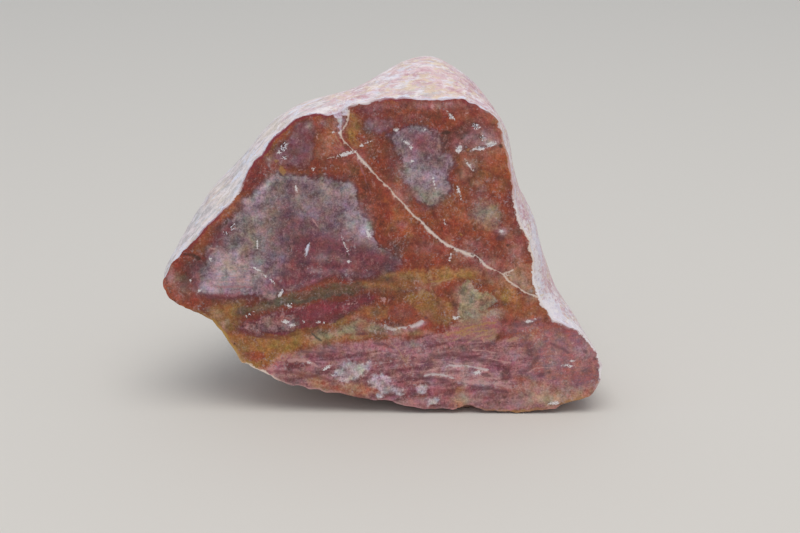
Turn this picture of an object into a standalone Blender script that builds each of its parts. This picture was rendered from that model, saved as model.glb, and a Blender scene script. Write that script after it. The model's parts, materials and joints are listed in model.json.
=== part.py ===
"""A cobble of brecciated jasper, sawn once: a polished face in front, a smooth worn back, a broken underside.

The stone is one solid. Sizes are millimetres until the mesh is made, which is in metres. A place on the stone
is (u, v, depth): u runs right across the sawn face, v runs up it, and depth goes straight in behind it.
"""

import math

import bmesh
import bpy
import numpy as np
from mathutils import Vector, noise

STONE = "jasper_stone"
MM = 0.001

# Driving sizes.
STONE_DEPTH = 57.0  # from the sawn face to the back
FACE_LEAN = math.radians(8)  # the sawn face leans back from upright
FLOOR_V = -35.9  # the floor, read up the sawn face, just under its lowest edge
AROUND = 150  # places around the rim
BEHIND = 28  # rings from the rim to the back
RING_CROWDING = 1.18  # over 1 sets the rings closer together near the rim

# The rim of the sawn face, from its left tip up and over. Its small steps are chips in the edge.
RIM = [
    (-51.2, -5.3), (-49.8, -1.9), (-49.4, -0.6), (-47.3, 1.5), (-44.2, 4.5), (-42.6, 6.3), (-41.3, 8.2),
    (-39.4, 9.2), (-36.7, 12.0), (-35.3, 13.8), (-33.0, 17.0), (-31.7, 19.3), (-30.5, 22.0), (-30.0, 23.7),
    (-27.9, 24.2), (-26.8, 26.8), (-25.6, 28.2), (-22.0, 31.2), (-20.7, 32.6), (-19.3, 33.5), (-17.4, 34.1),
    (-13.3, 33.8), (-11.2, 33.9), (-8.3, 36.1), (-4.5, 36.6), (0.4, 37.4), (6.7, 37.6), (10.8, 36.9),
    (18.0, 37.5), (21.0, 36.0), (25.6, 33.3), (26.7, 30.6), (27.2, 27.4), (28.5, 23.4), (28.9, 19.5),
    (29.8, 13.2), (30.5, 10.4), (33.0, 5.0), (34.4, -1.0), (34.4, -4.6), (35.2, -7.8), (37.8, -12.2),
    (38.6, -13.4), (41.2, -14.7), (45.2, -16.3), (47.6, -19.0), (49.6, -22.0), (50.6, -25.2), (49.9, -28.2),
    (48.4, -31.2), (44.7, -32.8), (41.2, -33.5), (39.8, -34.7), (30.4, -35.4), (23.4, -35.1), (20.6, -33.9),
    (18.9, -33.5), (17.2, -34.6), (9.4, -34.6), (1.0, -32.8), (-4.6, -32.1), (-10.2, -31.0), (-16.0, -30.0),
    (-20.2, -29.2), (-24.5, -27.9), (-28.6, -25.6), (-33.2, -23.4), (-34.6, -21.0), (-37.3, -16.9),
    (-39.6, -13.9), (-43.8, -11.6), (-47.4, -9.9), (-49.5, -8.9),
]

# Smooth outlines of the stone behind the rim, keyed by their depth, from the left tip up and over.
OUTLINES = {
    7: [
        (-52.0, -4.8), (-50.7, -1.0), (-47.2, 3.8), (-43.7, 9.5), (-40.4, 14.8), (-35.5, 20.4), (-30.9, 26.0),
        (-26.9, 30.2), (-21.5, 34.1), (-14.2, 36.8), (-6.5, 38.6), (0.0, 40.6), (6.0, 42.2), (11.0, 42.6),
        (16.0, 41.2), (20.5, 38.6), (24.6, 34.8), (27.4, 30.4), (28.5, 24.8), (29.7, 19.5), (31.0, 14.6),
        (33.2, 9.4), (35.2, 4.2), (36.6, -1.5), (38.6, -7.5), (41.8, -13.0), (46.0, -17.4), (49.4, -21.8),
        (51.0, -26.0), (49.4, -30.0), (45.0, -33.4), (37.0, -35.8), (24.0, -36.6), (8.0, -36.0),
        (-6.0, -33.0), (-18.0, -29.6), (-29.0, -24.6), (-35.4, -18.4), (-41.4, -12.0), (-48.4, -8.8),
    ],
    20: [
        (-50.2, -5.8), (-47.6, 0.4), (-43.9, 7.0), (-40.0, 12.0), (-36.1, 18.7), (-31.5, 24.6),
        (-27.8, 28.6), (-22.2, 33.0), (-14.8, 36.2), (-7.0, 38.6), (-1.0, 41.4), (5.1, 44.8), (10.2, 46.2),
        (14.5, 45.0), (20.6, 41.0), (23.6, 36.9), (26.8, 31.7), (28.6, 27.0), (29.9, 20.8), (31.4, 15.4),
        (33.9, 8.8), (36.4, 2.8), (38.8, -3.6), (41.2, -10.2), (45.8, -17.0), (49.2, -23.6), (48.6, -28.6),
        (43.6, -32.6), (34.0, -34.9), (16.0, -35.5), (-4.0, -34.4), (-18.0, -30.6), (-28.6, -24.2),
        (-35.4, -16.8), (-43.0, -10.4),
    ],
    32: [
        (-46.0, -6.0), (-45.0, 0.5), (-41.0, 7.0), (-36.4, 13.2), (-31.3, 19.5), (-26.2, 25.6), (-20.0, 30.4),
        (-12.0, 34.6), (-4.0, 38.4), (3.6, 41.8), (10.0, 43.2), (16.0, 41.2), (22.0, 36.2), (26.8, 30.0),
        (29.4, 23.0), (31.7, 15.6), (35.0, 8.2), (37.8, 2.6), (39.8, -4.0), (41.9, -11.0), (45.6, -18.6),
        (46.4, -24.8), (43.0, -29.6), (35.0, -32.4), (18.0, -33.6), (-2.0, -33.0), (-17.0, -30.0),
        (-28.0, -24.4), (-34.8, -16.8), (-41.4, -10.8),
    ],
    45: [
        (-36.0, -6.0), (-34.5, 1.0), (-31.0, 8.5), (-26.0, 15.0), (-20.0, 21.0), (-12.5, 26.0), (-4.0, 30.4),
        (4.0, 34.0), (10.5, 34.4), (16.5, 31.5), (21.5, 26.5), (25.5, 20.5), (29.0, 14.0), (32.0, 7.0),
        (34.4, 0.0), (36.2, -8.0), (37.0, -15.5), (36.0, -22.0), (31.6, -26.8), (23.0, -29.6), (8.0, -30.4),
        (-8.0, -29.0), (-20.0, -25.5), (-28.5, -19.5), (-33.5, -12.5),
    ],
    53: [
        (-21.0, -7.0), (-19.0, 1.0), (-14.0, 8.5), (-7.0, 14.0), (0.0, 18.0), (7.0, 20.0), (13.0, 17.5),
        (18.0, 11.5), (21.5, 4.0), (23.0, -5.0), (22.5, -14.0), (18.5, -20.5), (10.0, -24.0), (-1.0, -24.5),
        (-10.0, -21.5), (-17.0, -15.0),
    ],
}
CHIP_REACH = 3.0  # the rim's chips die out over about this depth
CHIP_WIDTH = 5.0  # what is narrower than this along the rim counts as a chip

# Broad worn flats: the direction each faces, its distance from the middle of the sawn face, its soft edge.
FLATS = [
    ((-0.62, 0.60, 0.50), 46.5, 1.5),
    ((-0.30, 0.62, 0.72), 49.0, 1.8),
    ((0.45, 0.55, 0.70), 49.0, 1.8),
    ((0.88, 0.05, 0.47), 50.5, 1.5),
    ((-0.80, -0.05, 0.60), 51.0, 2.0),
    ((0.20, -0.10, 0.97), 53.0, 2.0),
    ((0.30, -0.62, 0.72), 49.5, 1.5),
]

# Hollows where flakes broke away: centre, radius and how deep they go.
SCARS = [
    ((-33.0, -21.0, 13.0), 10.0, 2.0),
    ((-24.0, -27.0, 24.0), 12.0, 2.2),
    ((-41.0, -12.0, 24.0), 9.0, 1.8),
    ((-13.0, -31.0, 8.0), 8.0, 1.4),
    ((48.0, -29.0, 17.0), 8.0, 1.8),
    ((-33.0, -18.0, 36.0), 10.0, 1.8),
    ((36.0, -26.0, 40.0), 10.0, 1.8),
    ((31.0, 20.0, 34.0), 8.0, 0.8),
    ((-22.0, 27.0, 38.0), 9.0, 0.9),
]

# Low rounded lumps all over the skin: their size across and how far they stand.
LUMPS = [(17.0, 0.9), (7.0, 0.35)]
RIM_GUARD = 4.0  # flats, scars and lumps come in over this depth, so that the rim keeps its outline

SMOOTH_ANGLE = math.radians(40)  # the rim of the sawn face is sharper than this, the skin softer
JASPER_COLOUR = (0.27, 0.085, 0.045, 1)
JASPER_ROUGHNESS = 0.35


def clear_scene():
    for obj in list(bpy.data.objects):
        bpy.data.objects.remove(obj, do_unlink=True)


def smooth_loop(points, steps=8):
    """A closed curve through the points, as many short straight runs."""
    p = np.array(points, float)
    before, after, later = np.roll(p, 1, 0), np.roll(p, -1, 0), np.roll(p, -2, 0)
    t = (np.arange(steps) / steps)[:, None, None]
    runs = 0.5 * (
        2 * p + (after - before) * t + (2 * before - 5 * p + 4 * after - later) * t**2
        + (3 * p - before - 3 * after + later) * t**3
    )
    return runs.transpose(1, 0, 2).reshape(-1, 2)


def reach(loop, angles):
    """How far a closed loop lies from the middle in each of these directions."""
    loop = np.asarray(loop, float)
    return np.interp(angles, np.arctan2(loop[:, 1], loop[:, 0]), np.hypot(*loop.T), period=math.tau)


def rim_angles():
    """Directions from the middle of the face that cut its rim into equal lengths."""
    loop = np.array(RIM + RIM[:1], float)
    along = np.concatenate([[0], np.cumsum(np.hypot(*np.diff(loop, axis=0).T))])
    places = np.arange(AROUND) / AROUND * along[-1]
    return np.arctan2(np.interp(places, along, loop[:, 1]), np.interp(places, along, loop[:, 0]))


def softened(values, width):
    """A closed row of values with all that is narrower than this many places smoothed out."""
    offsets = np.arange(-AROUND // 2, AROUND // 2)
    weights = np.exp(-0.5 * (offsets / width) ** 2)
    return sum(w * np.roll(values, k) for k, w in zip(offsets, weights / weights.sum()))


def curve_through(xs, ys, x):
    """Rows ys, known at xs, read at x along a smooth curve."""
    slopes = np.gradient(ys, xs, axis=0)
    i = np.clip(np.searchsorted(xs, x, side="right") - 1, 0, len(xs) - 2)
    gap = xs[i + 1] - xs[i]
    t = (x - xs[i]) / gap
    return (
        (2 * t**3 - 3 * t**2 + 1) * ys[i] + (t**3 - 2 * t**2 + t) * gap * slopes[i]
        + (3 * t**2 - 2 * t**3) * ys[i + 1] + (t**3 - t**2) * gap * slopes[i + 1]
    )


def skin():
    """The stone's skin as rings of (u, v, depth), from the rim to the last ring before the back."""
    angles = rim_angles()
    rim = reach(RIM, angles)
    places_per_mm = AROUND / np.hypot(*np.diff(np.array(RIM + RIM[:1]), axis=0).T).sum()
    body = softened(rim, CHIP_WIDTH / 2 * places_per_mm)
    # The depth is the sine of a turn that reaches a right angle at the back, which closes the back round.
    turns = np.arcsin(np.array([0, *OUTLINES, STONE_DEPTH]) / STONE_DEPTH)
    reaches = np.array(
        [body, *(reach(smooth_loop(points), angles) for points in OUTLINES.values()), np.zeros(AROUND)]
    )
    fine_turns = np.linspace(0, math.pi / 2, 200)
    mean = np.array([curve_through(turns, reaches, turn).mean() for turn in fine_turns])
    steps = np.hypot(np.diff(mean), np.diff(STONE_DEPTH * np.sin(fine_turns)))
    along = np.concatenate([[0], np.cumsum(steps)]) / steps.sum()
    rings = []
    for share in (np.arange(BEHIND) / BEHIND) ** RING_CROWDING:
        turn = np.interp(share, along, fine_turns)
        depth = STONE_DEPTH * math.sin(turn)
        r = curve_through(turns, reaches, turn) + (rim - body) * math.exp(-depth / CHIP_REACH)
        rings.append(np.stack([r * np.cos(angles), r * np.sin(angles), np.full(AROUND, depth)], axis=1))
    return np.array(rings)


def into_world(places):
    """(u, v, depth) as (x, y, z), still in millimetres: the face leans back and the floor is at 0."""
    u, v, depth = np.moveaxis(np.asarray(places, float), -1, 0)
    lean, raised = math.sin(FACE_LEAN), math.cos(FACE_LEAN)
    return np.stack([u, depth * raised + v * lean, (v - FLOOR_V) * raised - depth * lean], axis=-1)


def wear_flats(places):
    """Presses what stands out past each flat back onto it, with a soft edge."""
    for facing, distance, soft in FLATS:
        normal = np.array(facing) / np.linalg.norm(facing)
        past = places @ normal - distance
        pressed = soft * np.logaddexp(0, past / soft)
        behind_rim = np.clip(places[..., 2:] / RIM_GUARD, 0, 1)
        places = places - normal * pressed[..., None] * behind_rim
    return places


def loft(bm, rings):
    """Joins the rings with four-sided faces, and closes the sawn face in front and the back behind them."""
    loops = [[bm.verts.new(place) for place in ring] for ring in rings]
    middle, tail = bm.verts.new((0, 0, 0)), bm.verts.new(rings[-1].mean(axis=0))
    for i in range(AROUND):
        j = (i + 1) % AROUND
        for nearer, deeper in zip(loops, loops[1:]):
            bm.faces.new((nearer[i], nearer[j], deeper[j], deeper[i]))
        bm.faces.new((middle, loops[0][j], loops[0][i]))
        bm.faces.new((tail, loops[-1][i], loops[-1][j]))
    bmesh.ops.recalc_face_normals(bm, faces=bm.faces)
    bm.normal_update()


def standing_out(place):
    """How far lumps raise the skin at this place, less what the scars took away."""
    height = sum(high * noise.noise(place / across) for across, high in LUMPS)
    for centre, radius, deep in SCARS:
        height -= deep * max(0, 1 - ((place - Vector(centre)).length / radius) ** 2)
    return height


def roughen(bm):
    """Moves the skin in and out along its own direction, more and more behind the rim."""
    moves = [v.normal * standing_out(v.co) * min(v.co.z / RIM_GUARD, 1) for v in bm.verts]
    for vert, move in zip(bm.verts, moves):
        vert.co += move


def stand_up(bm):
    """Leans the stone back, wears its lowest places flat on the floor, and centres it over the origin."""
    corners = into_world([vert.co for vert in bm.verts])
    corners[:, 2] = np.maximum(corners[:, 2], 0)
    middle_of_box = (corners.min(axis=0) + corners.max(axis=0)) / 2 * (1, 1, 0)
    for vert, corner in zip(bm.verts, (corners - middle_of_box) * MM):
        vert.co = corner
    # (u, v, depth) is a left-handed frame and (x, y, z) a right-handed one, so the faces are turned round.
    bmesh.ops.reverse_faces(bm, faces=bm.faces)


def stone_mesh():
    bm = bmesh.new()
    loft(bm, wear_flats(skin()))
    roughen(bm)
    stand_up(bm)
    mesh = bpy.data.meshes.new(STONE)
    bm.to_mesh(mesh)
    bm.free()
    mesh.shade_smooth()
    mesh.set_sharp_from_angle(angle=SMOOTH_ANGLE)
    return mesh


def jasper_material():
    material = bpy.data.materials.new("jasper")
    material.use_nodes = True
    shader = material.node_tree.nodes["Principled BSDF"]
    shader.inputs["Base Color"].default_value = JASPER_COLOUR
    shader.inputs["Roughness"].default_value = JASPER_ROUGHNESS
    return material


def main():
    clear_scene()
    collection = bpy.data.collections.new("brecciated jasper")
    bpy.context.scene.collection.children.link(collection)
    stone = bpy.data.objects.new(STONE, stone_mesh())
    stone.data.materials.append(jasper_material())
    collection.objects.link(stone)


main()
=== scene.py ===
import json
import math

import bmesh
import bpy
import numpy as np
from bpy.props import FloatProperty, FloatVectorProperty, IntProperty, PointerProperty
from bpy.types import Operator, Panel, PropertyGroup
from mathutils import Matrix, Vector, noise
from mathutils.bvhtree import BVHTree
from mathutils.geometry import delaunay_2d_cdt
from mathutils.kdtree import KDTree


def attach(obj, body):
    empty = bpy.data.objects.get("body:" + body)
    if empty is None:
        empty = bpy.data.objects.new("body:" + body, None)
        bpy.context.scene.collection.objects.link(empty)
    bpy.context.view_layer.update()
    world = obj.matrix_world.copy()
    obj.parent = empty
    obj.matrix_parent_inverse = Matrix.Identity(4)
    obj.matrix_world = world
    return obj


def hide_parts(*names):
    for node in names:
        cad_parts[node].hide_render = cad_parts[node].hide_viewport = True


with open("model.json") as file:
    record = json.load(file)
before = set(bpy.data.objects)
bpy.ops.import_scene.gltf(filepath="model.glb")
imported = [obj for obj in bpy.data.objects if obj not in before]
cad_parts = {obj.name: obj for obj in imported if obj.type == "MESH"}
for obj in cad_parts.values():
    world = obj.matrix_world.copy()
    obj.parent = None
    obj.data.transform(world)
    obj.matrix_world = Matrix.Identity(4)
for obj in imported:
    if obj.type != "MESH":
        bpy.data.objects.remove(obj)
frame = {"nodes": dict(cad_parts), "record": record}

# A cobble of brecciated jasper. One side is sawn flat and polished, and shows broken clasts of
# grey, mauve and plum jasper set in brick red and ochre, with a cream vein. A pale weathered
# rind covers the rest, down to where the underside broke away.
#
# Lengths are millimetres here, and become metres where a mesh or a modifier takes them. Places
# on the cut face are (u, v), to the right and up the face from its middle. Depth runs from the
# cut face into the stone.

bl_info = {
    "name": "Brecciated Jasper",
    "version": (1, 0, 0),
    "blender": (4, 5, 0),
    "location": "3D View > Sidebar > Jasper",
    "description": "Dresses a sawn cobble of brecciated jasper and sets its studio",
    "category": "Object",
}

MM = 0.001
BODY = "root"
STONE = "jasper_stone"
SURFACE = "jasper_stone_surface"

CUT_FACE = next(mount for mount in frame["record"]["mounts"] if mount["name"] == "cut_face")
MIDDLE = np.array(CUT_FACE["pos_m"]) / MM
OUT = np.array(CUT_FACE["axis"]) / np.linalg.norm(CUT_FACE["axis"])
RIGHT = np.array((1.0, 0.0, 0.0))
UP = np.cross(OUT, RIGHT)
HEART_DEPTH = 20.0


def linear(code):
    """The linear colour of a six-digit sRGB code"""
    parts = (int(code[place:place + 2], 16) / 255 for place in (0, 2, 4))
    return tuple(part / 12.92 if part < 0.04045 else ((part + 0.055) / 1.055) ** 2.4 for part in parts)


def tint(name, code, description):
    """A colour that a user may change"""
    return FloatVectorProperty(
        name=name, description=description, subtype="COLOR", size=3, min=0.0, max=1.0,
        default=linear(code))


class JasperSizes(PropertyGroup):
    """Sizes of the stone's fine surface"""

    face_spacing: FloatProperty(
        name="Face spacing", description="Distance between the points that carry the face's pattern",
        default=0.42 * MM, min=0.2 * MM, unit="LENGTH", precision=5)
    skin_spacing: FloatProperty(
        name="Skin spacing", description="Distance between the points of the rind and the underside",
        default=0.72 * MM, min=0.3 * MM, unit="LENGTH", precision=5)
    vug_spacing: FloatProperty(
        name="Vug spacing", description="Distance between the points inside a vug",
        default=0.16 * MM, min=0.05 * MM, unit="LENGTH", precision=5)
    chip_depth: FloatProperty(
        name="Chip depth", description="How far the saw chipped the edge of the cut face",
        default=0.22 * MM, min=0.0, unit="LENGTH", precision=5)
    rind_relief: FloatProperty(
        name="Rind relief", description="Depth of the rind's soft unevenness",
        default=0.30 * MM, min=0.0, unit="LENGTH", precision=5)
    broken_relief: FloatProperty(
        name="Broken relief", description="Depth of the roughness where the stone broke",
        default=0.75 * MM, min=0.0, unit="LENGTH", precision=5)
    rind_thickness: FloatProperty(
        name="Rind thickness", description="How far the rind stands over the broken underside",
        default=0.55 * MM, min=0.0, unit="LENGTH", precision=5)
    crystal_width: FloatProperty(
        name="Crystal width", description="Width of a quartz crystal in the vugs",
        default=0.26 * MM, min=0.05 * MM, unit="LENGTH", precision=5)
    crystal_seed: IntProperty(
        name="Crystal seed", description="Chooses another scatter of crystals", default=7, min=0)


class JasperMinerals(PropertyGroup):
    """Colours of the stone's minerals"""

    plum: tint("Plum", "55303a", "Dark purple of the clasts' rims and shadows")
    wine: tint("Wine", "6b2f33", "Dark red of the lens and the veined clasts")
    mauve: tint("Mauve", "84646d", "Purple grey of the clasts")
    lilac: tint("Lilac", "b3a5ab", "Pale purple grey of the clasts' light parts")
    rose: tint("Rose", "a56a70", "Pink of the lower breccia")
    blush: tint("Blush", "c99b98", "Pale pink of the lower breccia")
    brick: tint("Brick", "7d3626", "Brick red of the matrix")
    rust: tint("Rust", "9a4a2a", "Orange red of the matrix")
    orange: tint("Orange", "b06a3c", "Orange of the matrix near its edges")
    ochre: tint("Ochre", "94602c", "Yellow brown of the iron-stained parts")
    gold: tint("Gold", "b08848", "Pale yellow of the iron-stained parts")
    olive: tint("Olive", "54442a", "Greenish brown of the dark bands")
    crimson: tint("Crimson", "862f3a", "Thin dark red line inside the sawn edge")
    rosewood: tint("Rosewood", "723f45", "Dark rose of the lower field")
    pearl: tint("Pearl", "c9bfc8", "Brightest milky stain")
    clay: tint("Clay", "b08082", "Lighter rose of the lower field")
    heather: tint("Heather", "664b54", "Shaded mauve inside the clasts")
    dove: tint("Dove", "9a8a90", "Grey mauve inside the clasts")
    slate: tint("Slate", "42423a", "Dark grey of the band under the great clast")
    moss: tint("Moss", "6c6450", "Grey green of the band under the great clast")
    umber: tint("Umber", "43261c", "Dark brown of specks and cracks")
    tan: tint("Tan", "b28d6e", "Light brown of the stone's lower edge")
    sage: tint("Sage", "958c72", "Greenish grey of the altered patches")
    bone: tint("Bone", "b9ab8a", "Pale greenish altered patch")
    cream: tint("Cream", "e2cfc2", "Cream of the vein")
    # Chalk also paints glints: the white marks on the polished face are partly painted glints
    chalk: tint("Chalk", "dcd6d6", "White of the bleached patches")
    rind: tint("Rind", "c8b5ba", "Main colour of the weathered rind")
    rind_grey: tint("Rind grey", "b9babd", "Greyer rind of the left slope")
    # Rind white, rind rose and rind blue also serve as painted light: their patches brighten the shaded
    # right side and shoulder of the rind, and a rind blue streak is a painted glint on the face
    rind_white: tint("Rind white", "ece5e8", "White streaks of the rind")
    rind_pink: tint("Rind pink", "b98595", "Pink streaks of the rind")
    rind_rose: tint("Rind rose", "d8b2b9", "Light rosy streaks of the rind")
    rind_blue: tint("Rind blue", "dde2f4", "Cold white of the rind beside the cut")
    rind_yellow: tint("Rind yellow", "ddc9ab", "Yellowish parts of the rind")
    quartz: tint("Quartz", "ece9f0", "Clear crystals in the vugs")


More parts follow.
